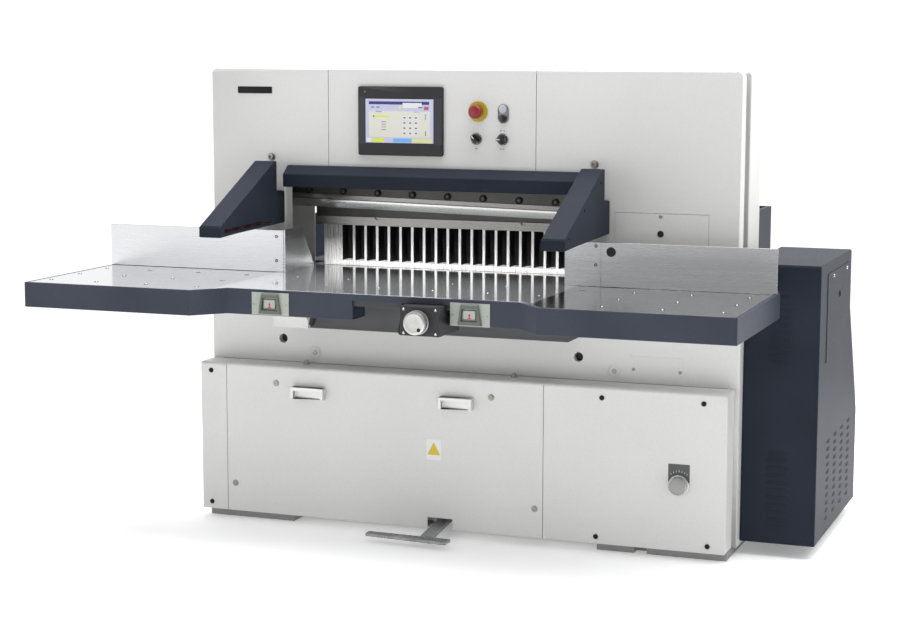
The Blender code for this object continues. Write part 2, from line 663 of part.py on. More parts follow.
def make_knife():
    """Ground blade behind the beam's lip, flat towards the clamp, bevelled towards the operator."""
    pin_z = KNIFE_PIN[2]
    front = BEAM_REAR + GAP
    profile = [(front, 0.040), (front, BEAM_LIP), (KNIFE_REAR - 0.0004, KNIFE_EDGE)]
    profile += [(KNIFE_REAR, KNIFE_EDGE), (KNIFE_REAR, 0.040)]
    knife_piece("knife", [(y, pin_z + z) for y, z in profile], "X", -0.760, 0.500, "polished")


def sloped_rod(name, radius, start, end, look=None, origin=(0, 0, 0)):
    """Round bar along the knife's slope, between two distances from the pin."""
    bm = bmesh.new()
    extrude(bm, circle((0, 0), radius), "Z", -end, -start)
    turn = Matrix.Rotation(-KNIFE_SLOPE, 3, "Y")
    bmesh.ops.rotate(bm, verts=bm.verts, cent=(0, 0, 0), matrix=turn)
    bmesh.ops.translate(bm, verts=bm.verts, vec=Vector((KNIFE_PIN[0], 0.128, KNIFE_PIN[2])))
    return make_object(name, bm, look, origin, smooth=True)


def make_knife_drive():
    """Block with the beam's pin and the pull rod, and the hydraulic cylinder that draws it down."""
    x, _, z = KNIFE_PIN
    block = box("knife_block", (x - 0.038, x + 0.038), (0.108, BEAM_FRONT - 0.001), (z - 0.045, z + 0.045),
                "cast", origin=KNIFE_PIN)
    pin = rod("block_pin", (x, z), 0.018, "Y", 0.140, BEAM_REAR - 0.001)
    join(block, pin, sloped_rod("pull_rod", 0.014, 0.020, 0.640))
    cylinder = sloped_rod("knife_cylinder", 0.040, 0.400, 0.880, "cast")
    join(cylinder, box("cylinder_bracket", (0.680 + GAP, 0.800), (0.110, 0.260), (0.440, 0.520)))
    cut(cylinder, sloped_rod("cylinder_bore", 0.0145, 0.390, 0.868))


def make_clamp():
    """Clamp beam with a bright lower lip, two finger notches and the piston rod above."""
    profile = [(CLAMP_FRONT, CLAMP_BOTTOM), (CLAMP_REAR, CLAMP_BOTTOM), (CLAMP_REAR, CLAMP_TOP)]
    profile += [(CLAMP_FRONT + 0.006, CLAMP_TOP), (CLAMP_FRONT + 0.006, CLAMP_BOTTOM + 0.031)]
    profile += [(CLAMP_FRONT, CLAMP_BOTTOM + 0.031)]
    clamp = prism("clamp_beam", profile, "X", -0.645, 0.425, "cast", origin=(CUT_CENTRE, 0.213, CLAMP_BOTTOM))
    notches = [rod(f"clamp_notch_{x}", (x, CLAMP_BOTTOM + 0.031), 0.010, "Y", 0.15, 0.1963, steps=16)
               for x in (-0.402, 0.150)]
    cut(clamp, *notches)
    join(clamp, rod("clamp_rod", (CUT_CENTRE, 0.213), 0.015, "Z", CLAMP_TOP - 0.01, 1.578))


def make_clamp_cylinder():
    axis = (CUT_CENTRE, 0.213)
    cylinder = rod("clamp_cylinder", axis, 0.028, "Z", 1.400, 1.586, "cast")
    foot = box("cylinder_foot", (CUT_CENTRE - 0.05, CUT_CENTRE + 0.05), (0.225, 0.245 - GAP), (1.42, 1.53))
    join(cylinder, foot)
    cut(cylinder, rod("clamp_bore", axis, 0.0155, "Z", 1.39, 1.580))


# Backgauge and its drive.


def make_backgauge():
    """Comb of upright fingers on a foot strip, with the nut that hangs through the table's slot."""
    depth = 0.055
    back = 0.340
    left = -0.637
    outline = [(left, GAUGE_FACE), (FIRST_FINGER, GAUGE_FACE), (FIRST_FINGER, GAUGE_FACE + depth)]
    for i in range(1, FINGERS + 1):
        x = FIRST_FINGER + FINGER_PITCH * i
        outline += [(x - 0.005, GAUGE_FACE + depth), (x - 0.005, GAUGE_FACE)]
        outline += [(x + 0.005, GAUGE_FACE)]
        if i < FINGERS:
            outline += [(x + 0.005, GAUGE_FACE + depth)]
    right = outline[-1][0]
    outline += [(right, back), (left, back)]
    origin = (CUT_CENTRE, GAUGE_FACE, TABLE_TOP)
    gauge = prism("backgauge", outline, "Z", TABLE_TOP + 0.012, 1.100, "stainless", origin)
    foot = box("gauge_foot", (left, right), (GAUGE_FACE, back + 0.055), (TABLE_TOP + GAP, TABLE_TOP + 0.0125))
    nut = box("gauge_nut", (CUT_CENTRE - 0.020, CUT_CENTRE + 0.020), (0.295, 0.350),
              (0.755, TABLE_TOP + 0.005))
    join(gauge, foot, nut)
    cut(gauge, rod("nut_bore", (CUT_CENTRE, SCREW_HEIGHT), SCREW_RADIUS + 0.0005, "Y", 0.2, 0.5))


def make_gauge_drive():
    centre = (CUT_CENTRE, SCREW_HEIGHT)
    origin = (CUT_CENTRE, 0.264, SCREW_HEIGHT)
    rod("lead_screw", centre, SCREW_RADIUS, "Y", 0.264, 1.2797, "steel", origin)
    box("gauge_motor", (CUT_CENTRE - 0.055, CUT_CENTRE + 0.055), (1.280, 1.392), (0.735, 0.845), "black")


def make_hydraulic_unit():
    """Oil tank on the base with the pump motor lying on its lid."""
    tank = box("hydraulic_unit", (-0.560, -0.160), (0.300, 0.640), (BASE_FLOOR + GAP, 0.340), "blue_paint")
    motor = rod("pump_motor", (0.470, 0.420), 0.080, "X", -0.520, -0.260)
    saddle = box("motor_saddle", (-0.480, -0.300), (0.410, 0.530), (0.335, 0.380))
    join(tank, motor, saddle)


for leftover in list(bpy.data.objects):
    bpy.data.objects.remove(leftover, do_unlink=True)

machine = bpy.data.objects.new("machine", None)
bpy.context.scene.collection.objects.link(machine)
machine.location = (-(TABLE_LEFT + CABINET_RIGHT) / 2, -(TABLE_FRONT + GUARD_REAR) / 2, 0)

for make_group in (
    make_feet, make_base, make_side_frames, make_crossbeam,
    make_main_table, make_cutting_stick, make_side_tables, make_trims, make_fences,
    make_upper_covers, make_control_panel, make_rear_housing, make_lower_panel, make_lower_covers,
    make_handles, make_bar_cover, make_guard_arms, make_rear_guard, make_cabinet,
    make_touch_panel, make_buttons, make_selectors, make_cut_buttons, make_handwheel,
    make_pressure_knob, make_pedal, make_knife_beam, make_knife, make_knife_drive,
    make_clamp, make_clamp_cylinder, make_backgauge, make_gauge_drive, make_hydraulic_unit,
):
    make_group()
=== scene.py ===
"""Looks of a programmable guillotine paper cutter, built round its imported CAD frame, in metres."""
import json
import math
import random

import bmesh
import bpy
from mathutils import Matrix, Vector

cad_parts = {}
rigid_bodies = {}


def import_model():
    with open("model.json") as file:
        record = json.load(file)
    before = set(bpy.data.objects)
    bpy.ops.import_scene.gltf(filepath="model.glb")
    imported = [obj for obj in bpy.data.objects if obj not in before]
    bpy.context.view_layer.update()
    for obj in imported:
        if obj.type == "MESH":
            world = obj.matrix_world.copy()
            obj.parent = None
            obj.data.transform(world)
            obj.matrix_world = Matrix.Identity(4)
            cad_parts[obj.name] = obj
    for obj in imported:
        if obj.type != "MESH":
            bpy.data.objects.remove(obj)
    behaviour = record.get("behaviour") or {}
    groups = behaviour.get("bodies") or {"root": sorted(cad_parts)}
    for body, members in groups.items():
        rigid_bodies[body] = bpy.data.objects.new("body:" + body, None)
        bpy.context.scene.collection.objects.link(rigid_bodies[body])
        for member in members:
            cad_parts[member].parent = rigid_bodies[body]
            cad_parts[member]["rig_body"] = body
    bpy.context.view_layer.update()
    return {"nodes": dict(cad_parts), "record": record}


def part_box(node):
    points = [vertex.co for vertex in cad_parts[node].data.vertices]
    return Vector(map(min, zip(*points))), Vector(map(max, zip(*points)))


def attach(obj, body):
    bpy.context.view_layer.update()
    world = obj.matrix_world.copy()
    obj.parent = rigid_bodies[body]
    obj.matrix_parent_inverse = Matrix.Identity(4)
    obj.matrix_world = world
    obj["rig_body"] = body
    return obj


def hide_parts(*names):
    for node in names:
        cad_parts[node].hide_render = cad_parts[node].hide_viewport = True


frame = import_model()

# The machine's own datum: the middle of the body in X, the upper housing's front face in Y, the floor in Z.
body_low, body_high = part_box("lower_body_panel")
datum = Vector(((body_low.x + body_high.x) / 2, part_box("control_panel")[0].y, 0.0))


# Feet: two cast iron slabs under the base, enamelled machine grey. Their edges are rounded by the
# sand mould, and the enamel follows the casting's coarse skin.


def linear(code):
    """sRGB hex colour as linear RGBA."""
    channels = [int(code[i:i + 2], 16) / 255 for i in (1, 3, 5)]
    bent = [c / 12.92 if c <= 0.04045 else ((c + 0.055) / 1.055) ** 2.4 for c in channels]
    return (*bent, 1.0)


def add(tree, kind, inputs=None, **settings):
    """Adds a shader node with its settings. An input is a value or the output that links to it."""
    made = tree.nodes.new("ShaderNode" + kind)
    for name, value in settings.items():
        setattr(made, name, value)
    for socket, value in (inputs or {}).items():
        if isinstance(value, bpy.types.NodeSocket):
            tree.links.new(value, made.inputs[socket])
        else:
            made.inputs[socket].default_value = value
    return made


def surface(name, low, high, roughness, grain, depth, stretch=(1, 1, 1), patch=0.3, detail=3.0, even=None):
    """Material whose colour drifts in patches, with a grain of a real size that moves roughness and relief.

    low and high are the colours between which it drifts, roughness is a range, grain and patch are the
    pattern's sizes and depth is its relief, all in metres. even holds the shader's own constant values.
    """
    material = bpy.data.materials.new(name)
    material.use_nodes = True
    tree = material.node_tree
    shader = tree.nodes["Principled BSDF"]
    for socket, value in (even or {}).items():
        shader.inputs[socket].default_value = value
    place = add(tree, "TexCoord").outputs["Object"]
    run = add(tree, "Mapping", {"Vector": place, "Scale": stretch}).outputs["Vector"]
    fine = add(tree, "TexNoise", {"Vector": run, "Scale": 1 / grain, "Detail": detail}).outputs["Fac"]
    wide = add(tree, "TexNoise", {"Vector": place, "Scale": 1 / patch, "Detail": 2.0}).outputs["Fac"]
    blend = add(tree, "Math", {0: wide, 1: fine}, operation="ADD").outputs[0]
    share = add(tree, "MapRange", {"Value": blend, "From Min": 0.7, "From Max": 1.3}).outputs["Result"]
    if low == high:
        shader.inputs["Base Color"].default_value = linear(low)
    else:
        tint = add(tree, "Mix", {0: share, 6: linear(low), 7: linear(high)}, data_type="RGBA")
        tree.links.new(tint.outputs[2], shader.inputs["Base Color"])
    rough = add(tree, "MapRange", {"Value": fine, "From Min": 0.3, "From Max": 0.7,
                                   "To Min": roughness[0], "To Max": roughness[1]})
    tree.links.new(rough.outputs["Result"], shader.inputs["Roughness"])
    relief = add(tree, "Bump", {"Height": fine, "Strength": 1.0, "Distance": depth})
    tree.links.new(relief.outputs["Normal"], shader.inputs["Normal"])
    return material


def placed(name, mesh, finishes, body, nodes=()):
    """Makes a piece of a mesh built in place: it rides on a body and may stand for CAD nodes."""
    made = bpy.data.objects.new(name, mesh)
    bpy.context.scene.collection.objects.link(made)
    for finish in finishes if isinstance(finishes, list) else [finishes]:
        mesh.materials.append(finish)
    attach(made, body)
    if nodes:
        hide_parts(*nodes)
    return made


def softened(node, finishes, width, where=None, sort=None, segments=3):
    """Stands for a CAD node with its flat faces joined up again and its edges broken by a rounding.

    where gives each sharp outer edge's share of the width from its middle, sort gives each face's
    finish from its middle and normal, both in the machine's own axes.
    """
    source = frame["nodes"][node]
    bm = bmesh.new()
    bm.from_mesh(source.data)
    bmesh.ops.remove_doubles(bm, verts=bm.verts, dist=1e-5)
    bmesh.ops.dissolve_limit(bm, angle_limit=math.radians(0.6), verts=bm.verts, edges=bm.edges)
    bm.normal_update()
    rounding = bm.edges.layers.float.new("bevel_weight_edge")
    for edge in bm.edges:
        if len(edge.link_faces) != 2 or edge.calc_face_angle() < math.radians(30):
            continue
        middle = (edge.verts[0].co + edge.verts[1].co) / 2 - datum
        share = where(middle) if where else 1.0
        if edge.is_convex and edge.calc_length() > 2 * width and share:
            edge[rounding] = share
        else:
            edge.smooth = False
    for face in bm.faces:
        face.smooth = True
        if sort:
            face.material_index = sort(face.calc_center_median() - datum, face.normal)
    mesh = bpy.data.meshes.new(node + "_finished")
    bm.to_mesh(mesh)
    bm.free()
    made = placed(node + "_finished", mesh, finishes, source["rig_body"], [node])
    bevel = made.modifiers.new("broken edges", "BEVEL")
    bevel.limit_method = "WEIGHT"
    bevel.width = width
    bevel.segments = segments
    bevel.use_clamp_overlap = False
    flat = made.modifiers.new("flat faces", "WEIGHTED_NORMAL")
    flat.weight = 100
    flat.keep_sharp = True
    return made


# Cast iron under machine enamel: half-gloss, with the casting's soft lumps showing through.
enamelled_iron = surface("enamelled_cast_iron", "#858686", "#8F9090", (0.42, 0.58), 0.009, 0.0005,
                         even={"Specular IOR Level": 0.45})
for node in ("left_foot", "right_foot"):
    softened(node, enamelled_iron, 0.003)


# Base frame, side frames and crossbeam: welded plate and castings. Where they show beside the covers they
# have the covers' light powder coat, and inside they are left in dark primer.


# Light powder coat, baked: semi-gloss, warm light grey. The melt leaves an orange peel of about 4 mm,
# drawn a little coarser so that it still shows.
light_coat = surface("light_powder_coat", "#D0D0CE", "#D6D6D4", (0.36, 0.46), 0.006, 0.00008, patch=0.5,
                     even={"Coat Weight": 0.10, "Coat Roughness": 0.25})
# Dark grey primer, rolled on: dull and a little uneven. It also stands as painted shade on the table's bed
# and the rear housing's neck.
primer_and_painted_shade = surface("grey_primer_and_painted_shade", "#3A3B3D", "#494A4C", (0.60, 0.80), 0.004, 0.0002, patch=0.12)
base_low, base_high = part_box("base_frame")
base_half = (base_high.x - base_low.x) / 2
base_rear = base_high.y - datum.y
softened("base_frame", [primer_and_painted_shade, light_coat], 0.003,
         where=lambda at: abs(at.x) > base_half - 0.001,
         sort=lambda at, facing: int(abs(at.x) > base_half - 0.03 or at.y > base_rear - 0.004 or at.y < 0.01))
for node in ("left_side_frame", "right_side_frame", "crossbeam"):
    softened(node, primer_and_painted_shade, 0.004)


# Main table: one ground cast iron plate, hard chromed and polished so that paper slides on it. Its bed under
# the front and its faces towards the front are drawn in the dark primer, as painted shade under the table,
# and the slot lets the gauge's nut through.


# Hard chrome on ground iron, polished along the feed: a near mirror with hairline drag marks front to back.
chromed_table = surface("polished_hard_chrome", "#D0D1D3", "#DADBDD", (0.05, 0.11), 0.0016, 0.0000005,
                        stretch=(1, 0.02, 1), patch=0.2, even={"Metallic": 0.72})
table_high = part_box("main_table")[1].z
plate_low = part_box("left_side_table")[0].z - 0.0005
softened("main_table", [chromed_table, primer_and_painted_shade], 0.0008,
         sort=lambda at, facing: int(at.z < plate_low - 0.002 or facing.y < -0.5))
# Cutting stick: a square bar of red PVC let into a groove under the knife. It is worn matt by the blade.
red_pvc = surface("extruded_red_pvc", "#A42A28", "#B63330", (0.40, 0.60), 0.003, 0.00015,
                  stretch=(0.05, 1, 1))
softened("cutting_stick", red_pvc, 0.0006)


# Side tables: stainless plates beside the main table, brushed along the front edge and let flush into
# their painted skirts.


# Stainless sheet, belt brushed left to right: satin, with long fine lines that blur what it mirrors.
brushed_steel = surface("brushed_stainless", "#C4C5C7", "#CBCCCF", (0.22, 0.29), 0.0022, 0.000004,
                        stretch=(0.012, 1, 1), patch=0.4, detail=4.0, even={"Metallic": 1.0})
# Side table sheet, polished after brushing: what it mirrors is only a little blurred.
polished_sheet = surface("polished_stainless", "#C6C7C9", "#CFD0D2", (0.12, 0.18), 0.0022, 0.000001,
                         stretch=(0.012, 1, 1), patch=0.4, even={"Metallic": 1.0})
for node in ("left_side_table", "right_side_table"):
    softened(node, polished_sheet, 0.0008)


# Air nozzles: spring-loaded steel balls in black steel seats, pressed into the tables on a 190 mm grid.
# Air comes out round a ball when a paper stack pushes it down.


def turned(bm, centre, out, profile, sides=24, index=0):
    """Adds a lathe-turned form to bm. profile lists (radius, height along out) from its first end to its
    last, and an entry that also says "hex" is a hexagon across its corners. Ends of different radius at
    one height are joined into a ring with a hole, others are capped."""
    out = Vector(out).normalized()
    side = out.orthogonal().normalized() if abs(out.z) > 0.9 else Vector((0, 0, 1)).cross(out).normalized()
    up = out.cross(side)
    centre = Vector(centre) + datum
    rings = []
    for radius, height, *shape in profile:
        if radius == 0:
            rings.append([bm.verts.new(centre + out * height)])
            continue
        ring = []
        for step in range(sides):
            angle = 2 * math.pi * step / sides
            reach = radius
            if shape:
                reach *= math.cos(math.pi / 6) / math.cos(angle % (math.pi / 3) - math.pi / 6)
            around = side * math.cos(angle) + up * math.sin(angle)
            ring.append(bm.verts.new(centre + out * height + around * reach))
        rings.append(ring)
    made = []
    open_ring = (profile[0][0] and profile[-1][0] and profile[0][0] != profile[-1][0]
                 and profile[0][1] == profile[-1][1])
    for first, second in zip(rings, rings[1:] + rings[:1] if open_ring else rings[1:]):
        for step in range(sides):
            after = (step + 1) % sides
            corners = [first[step % len(first)], first[after % len(first)],
                       second[after % len(second)], second[step % len(second)]]
            corners = list(dict.fromkeys(corners))
            if len(corners) > 2:
                made.append(bm.faces.new(corners))
    for ring in (rings[0], rings[-1]):
        if len(ring) > 1 and not open_ring:
            made.append(bm.faces.new(ring))
    for face in made:
        face.material_index = index
    return made


def piece(name, bm, finishes, body, nodes=(), edge=0.0, sharp=35):
    """Makes a piece of a bmesh: smooth but for edges over the sharp angle, which edge may round off."""
    bmesh.ops.recalc_face_normals(bm, faces=bm.faces)
    mesh = bpy.data.meshes.new(name)
    bm.to_mesh(mesh)
    bm.free()
    mesh.shade_smooth()
    mesh.set_sharp_from_angle(angle=math.radians(sharp))
    made = placed(name, mesh, finishes, body, nodes)
    if edge:
        bevel = made.modifiers.new("broken edges", "BEVEL")
        bevel.width = edge
        bevel.segments = 2
        bevel.limit_method = "ANGLE"
        bevel.angle_limit = math.radians(40)
        bevel.harden_normals = True
    return made


def fixings(name, spots, out, profile, finishes, sides=24, body="machine"):
    """Makes one piece of like turned fixings, one at each (x, y, z) spot."""
    bm = bmesh.new()
    for spot in spots:
        turned(bm, spot, out, profile, sides)
    piece(name, bm, finishes, body)


# Turned and nickel-plated steel: bright, with lathe rings too fine to see that only spread the shine.
nickel = surface("nickel_plated_steel", "#C4C3BF", "#D0CFCC", (0.16, 0.28), 0.0012, 0.00001,
                 even={"Metallic": 1.0})
# Blackened steel: oiled black oxide, dark with a soft shine on its rims. It also stands as painted shade in
# the hand wheel's finger dimple.
black_oxide_and_painted_shade = surface("black_oxide_steel_and_painted_shade", "#17171A", "#222226", (0.38, 0.55), 0.0015, 0.00003,
                      even={"Metallic": 0.6})
nozzle_rows = {"left": [(x, y) for x in (-0.73, -0.92, -1.11, -1.285) for y in (-0.205, -0.390, -0.575)],
               "right": [(x, y) for x in (0.487, 0.663, 0.853, 1.041) for y in (-0.205, -0.390, -0.575)
                         if (x, y) != (0.487, -0.575)],
               "main": [(x, y) for x in (-0.535, -0.345, -0.155, 0.035, 0.225, 0.400)
                        for y in (-0.205, -0.390)]}
for place, spots in nozzle_rows.items():
    bm = bmesh.new()
    for x, y in spots:
        seat = (x, y, table_high)
        turned(bm, seat, (0, 0, 1), [(0.0075, -0.0010), (0.0075, 0.0001), (0.0070, 0.0004), (0.0050, 0.0004),
                                     (0.0050, -0.0010)], index=1)
        turned(bm, seat, (0, 0, 1), [(0.0030, -0.0009), (0.0034, 0.0004), (0.0026, 0.0014), (0.0012, 0.0019),
                                     (0, 0.0020)])
    piece(f"{place}_air_nozzles", bm, [nickel, black_oxide_and_painted_shade], "machine")


# Skirts round the tables: folded steel sheet with a dark blue-grey textured powder coat, flush with the
# plates. The two rear corners are open.


# Dark textured powder coat, baked: its pimples are about 1.5 mm across, drawn at 3 mm so that they show as
# a fine sparkle where light grazes.
dark_coat = surface("textured_dark_powder_coat", "#20252E", "#292E39", (0.36, 0.52), 0.003, 0.00022,
                    patch=0.25, even={"Specular IOR Level": 0.07})
# The same coat a shade lighter, for the skirts, which read paler than the guards.
skirt_coat = surface("textured_grey_blue_powder_coat", "#343944", "#3E434E", (0.36, 0.52), 0.003, 0.00022,
                     patch=0.25, even={"Specular IOR Level": 0.15})
for node in ("left_table_trim", "right_table_trim"):
    softened(node, skirt_coat, 0.0022)


# Fences and side guides: folded stainless sheet at the tables' back and plates in the opening, brushed
# lengthways and fixed with small countersunk screws.
for node in ("left_fence", "right_fence", "right_inner_guide"):
    softened(node, brushed_steel, 0.0010)


def slab(bm, corners, axis, start, end, index=0):
    """Adds an outline drawn across X, Y or Z, extruded from start to end along it."""
    def at(u, v, along):
        return Vector({"X": (along, u, v), "Y": (u, along, v), "Z": (u, v, along)}[axis]) + datum
    first = [bm.verts.new(at(u, v, start)) for u, v in corners]
    last = [bm.verts.new(at(u, v, end)) for u, v in corners]
    made = [bm.faces.new(first), bm.faces.new(last)]
    for i, corner in enumerate(first):
        after = (i + 1) % len(first)
        made.append(bm.faces.new([corner, first[after], last[after], last[i]]))
    for face in made:
        face.material_index = index
    return made


# Left guide: a plate whose far end slopes down to the table, clear of the knife.
bm = bmesh.new()
slab(bm, [(-0.094, 0.9004), (0.150, 0.9004), (0.046, 1.0498), (-0.094, 1.0498)], "X", -0.6399, -0.6341)
piece("left_guide_plate", bm, brushed_steel, "machine", ["left_inner_guide"], edge=0.0008)
fence_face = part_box("right_inner_guide")[0].y - datum.y
socket_head = [(0.0055, -0.001), (0.0055, 0.0006), (0.0048, 0.0012), (0.0030, 0.0012, "hex"),
               (0.0030, -0.0006, "hex"), (0, -0.0006)]
fence_spots = ((0.500, 1.035), (0.500, 0.972), (-0.668, 0.940), (-0.668, 1.025))
fixings("fence_screws", [(x, fence_face, z) for x, z in fence_spots], (0, -1, 0), socket_head, black_oxide_and_painted_shade)
# Moulded black PVC: dull, faintly grained. It also stands as painted shade in holes, the lock's key slot and
# the louvres' openings.
black_pvc_and_painted_shade = surface("moulded_black_pvc_and_painted_shade", "#121214", "#1A1A1D", (0.48, 0.62), 0.002, 0.00005)
# A black cap drawn in the fence's hole, as painted shade.
fixings("fence_hole_painted_shade", [(0.552, fence_face + 0.003, 1.017)], (0, -1, 0),
        [(0.0088, -0.0029), (0.0088, 0.0030), (0.0158, 0.0032), (0.0162, 0.0040), (0.0150, 0.0050),
         (0.0116, 0.0050), (0.0110, 0.0030), (0, 0.0030)], black_pvc_and_painted_shade)


# Upper covers, control panel and access door: pressed sheet steel boxes hung on the side frames. Their
# front edges are bent round about 5 mm, and the joints between them are hairlines.
front_width = 0.005
housing_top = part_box("left_upper_cover")[1].z
housing_half = -(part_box("left_upper_cover")[0].x - datum.x)


def cover_rim(at):
    """A cover's outer front edges are well rounded, its joints with its neighbours only deburred."""
    if at.y > 0.0005:
        return 0.3 if abs(at.y - 0.003) > 0.001 and at.y < 0.05 else 0.0
    outer = at.z > housing_top - 0.045 and abs(at.x) > housing_half - 0.045
    outer = outer or at.z > housing_top - 0.001 or abs(at.x) > housing_half - 0.001
    inner = -0.676 < at.x < -0.674 or 0.446 < at.x < 0.448
    return 1.0 if outer or inner else 0.2


for node in ("left_upper_cover", "control_panel", "right_upper_cover"):
    softened(node, light_coat, front_width, where=cover_rim, segments=4)
softened("access_door", light_coat, 0.0008, where=lambda at: at.y < 0.0005)

# Screws of the upper covers: socket heads of plated steel, and over each guard arm a large cap screw on a
# washer that carries the arm.
cap_screw = [(0.0145, -0.0005), (0.0145, 0.0018), (0.0138, 0.0025), (0.0098, 0.0025), (0.0098, 0.0112),
             (0.0090, 0.0122), (0.0058, 0.0122, "hex"), (0.0058, 0.0062, "hex"), (0, 0.0062)]
# Zinc-plated steel, yellowed: soft metal grey with a faint olive cast.
zinc = surface("zinc_plated_steel", "#8C8A82", "#A3A198", (0.28, 0.42), 0.002, 0.00003,
               even={"Metallic": 1.0})
bm = bmesh.new()
for x, z in ((-0.728, 1.299), (0.464, 1.299)):
    turned(bm, (x, 0, z), (0, -1, 0), cap_screw)
turned(bm, (0.694, 0, 1.131), (0, -1, 0), [(0.0065, -0.001), (0.0065, 0.0008), (0.0050, 0.0022),
                                           (0.0028, 0.0024, "hex"), (0.0028, 0.0008, "hex"), (0, 0.0008)])
piece("upper_cover_screws", bm, zinc, "machine")
# Behind the access door's hole: a blind black cup, painted shade in the hole.
fixings("door_hole_painted_shade", [(0.694, 0.0, 1.073)], (0, -1, 0),
        [(0.0098, -0.0029), (0.0098, 0.0002), (0.0112, 0.0003), (0.0112, 0.0010), (0.0098, 0.0013),
         (0.0084, 0.0003), (0.0080, -0.0022), (0, -0.0022)], black_pvc_and_painted_shade)
# Blank name badge: a thin strip of dark anodised aluminium, stuck on the left cover, with nothing on it.
anodised_black = surface("black_anodised_aluminium", "#1B1B1D", "#252528", (0.30, 0.42), 0.001, 0.00001,
                         stretch=(0.02, 1, 1), even={"Metallic": 0.8})


def block(bm, xs, ys, zs, index=0):
    """Adds a straight block between two values on each axis."""
    return slab(bm, [(xs[0], ys[0]), (xs[1], ys[0]), (xs[1], ys[1]), (xs[0], ys[1])], "Z", *zs, index)


def rounded(left, right, low, high, radius, steps=5):
    """Rectangle with round corners."""
    outline = []
    for u, v, start in ((right - radius, high - radius, 0), (left + radius, high - radius, 1),
                        (left + radius, low + radius, 2), (right - radius, low + radius, 3)):
        for step in range(steps + 1):
            angle = math.pi / 2 * (start + step / steps)
            outline.append((u + radius * math.cos(angle), v + radius * math.sin(angle)))
    return outline


bm = bmesh.new()
slab(bm, rounded(-0.858, -0.724, 1.522, 1.546, 0.003), "Y", -0.0014, 0.0005)
piece("blank_badge", bm, anodised_black, "machine", edge=0.0004)


# Rear housing: a deep folded shell behind the covers, narrower where it meets them, so that a shadow gap
# runs round the joint. It is open at the back over the rear table.
rear_front = 0.136
rear_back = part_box("rear_housing")[1].y - datum.y


def housing_rim(at):
    outer = abs(at.x) > housing_half - 0.045 or at.z > housing_top - 0.045
    return 1.0 if outer and (abs(at.y - rear_front) < 0.001 or at.y > rear_back - 0.001) else 0.0


# The narrow neck in the shadow gap is drawn in the dark primer, as painted shade.
softened("rear_housing", [light_coat, primer_and_painted_shade], 0.005, where=housing_rim, segments=4,
         sort=lambda at, facing: int(at.y < rear_front - 0.001 and abs(facing.y) < 0.5))
# Back of the housing: three removable sheets held by screws, the outer two with pressed louvres for the
# hydraulic and drive bays.


def louvre(bm, axis, face, along, level, width, height=0.011, proud=0.004, index=0):
    """Pressed louvre on an upright face: a lens-shaped scoop that opens downwards. along is its middle."""
    sign = math.copysign(1, face[1])
    level = Vector((0, 0, level))
    across = Vector((1, 0, 0)) if axis == "Y" else Vector((0, 1, 0))
    out = Vector((0, sign, 0)) if axis == "Y" else Vector((sign, 0, 0))
    wall = out * sign * face[0]
    rows = []
    for step in range(9):
        share = step / 8
        bulge = math.sin(math.pi * share) ** 0.45
        centre = across * (along + width * (share - 0.5))
        lip = centre + wall + level + out * proud * bulge
        rows.append([centre + wall + level + Vector((0, 0, height)) - out * 0.0004,
                     centre + wall + level + Vector((0, 0, height * 0.45)) + out * proud * bulge * 0.75,
                     lip, lip - out * min(0.0012, proud * bulge + 0.0004) + Vector((0, 0, 0.0002)),
                     centre + wall + level - out * 0.0004 + Vector((0, 0, 0.0010))])
    verts = [[bm.verts.new(at + datum) for at in row] for row in rows]
    for first, second in zip(verts, verts[1:]):
        for step in range(5):
            after = (step + 1) % 5
            made = bm.faces.new([first[step], first[after], second[after], second[step]])
            # The lip's underside and the opening behind it take the second finish, drawn black as painted
            # shade in the louvre.
            made.material_index = index + (1 if step in (2, 3) else 0)
    for ends in (verts[0], verts[-1]):
        bm.faces.new(ends).material_index = index


small_screw = [(0.0058, -0.0005), (0.0058, 0.0008), (0.0046, 0.0026), (0.0026, 0.0030, "hex"),
               (0.0026, 0.0010, "hex"), (0, 0.0010)]
louvre_pitch = 0.0265
sheet_face = rear_back + 0.0015
sheet_top = 1.560
screw_inset = 0.018
for side, left, right, bottom, screw_rows in (("left", -0.940, -0.730, 0.870, (0.890, 1.215, 1.540)),
                                              ("right", 0.510, 0.940, 0.870, (0.890, 1.215, 1.540)),
                                              ("middle", -0.700, 0.480, 1.300, (1.318, 1.542))):
    bm = bmesh.new()
    slab(bm, rounded(left, right, bottom, sheet_top, 0.004), "Y", rear_back - 0.0005, sheet_face)
    piece(f"{side}_back_sheet", bm, light_coat, "machine", edge=0.0006)
    columns = [left + screw_inset, right - screw_inset]
    if side == "middle":
        columns.insert(1, (left + right) / 2)
    fixings(f"{side}_back_screws", [(x, sheet_face, z) for x in columns for z in screw_rows], (0, 1, 0),
            small_screw, black_oxide_and_painted_shade)
    if side == "middle":
        continue
    bm = bmesh.new()
    for row in range(9):
        louvre(bm, "Y", (sheet_face, 1), (left + right) / 2, 1.300 + louvre_pitch * row, 0.120)
    piece(f"{side}_back_louvres", bm, [light_coat, black_pvc_and_painted_shade], "machine", sharp=50)


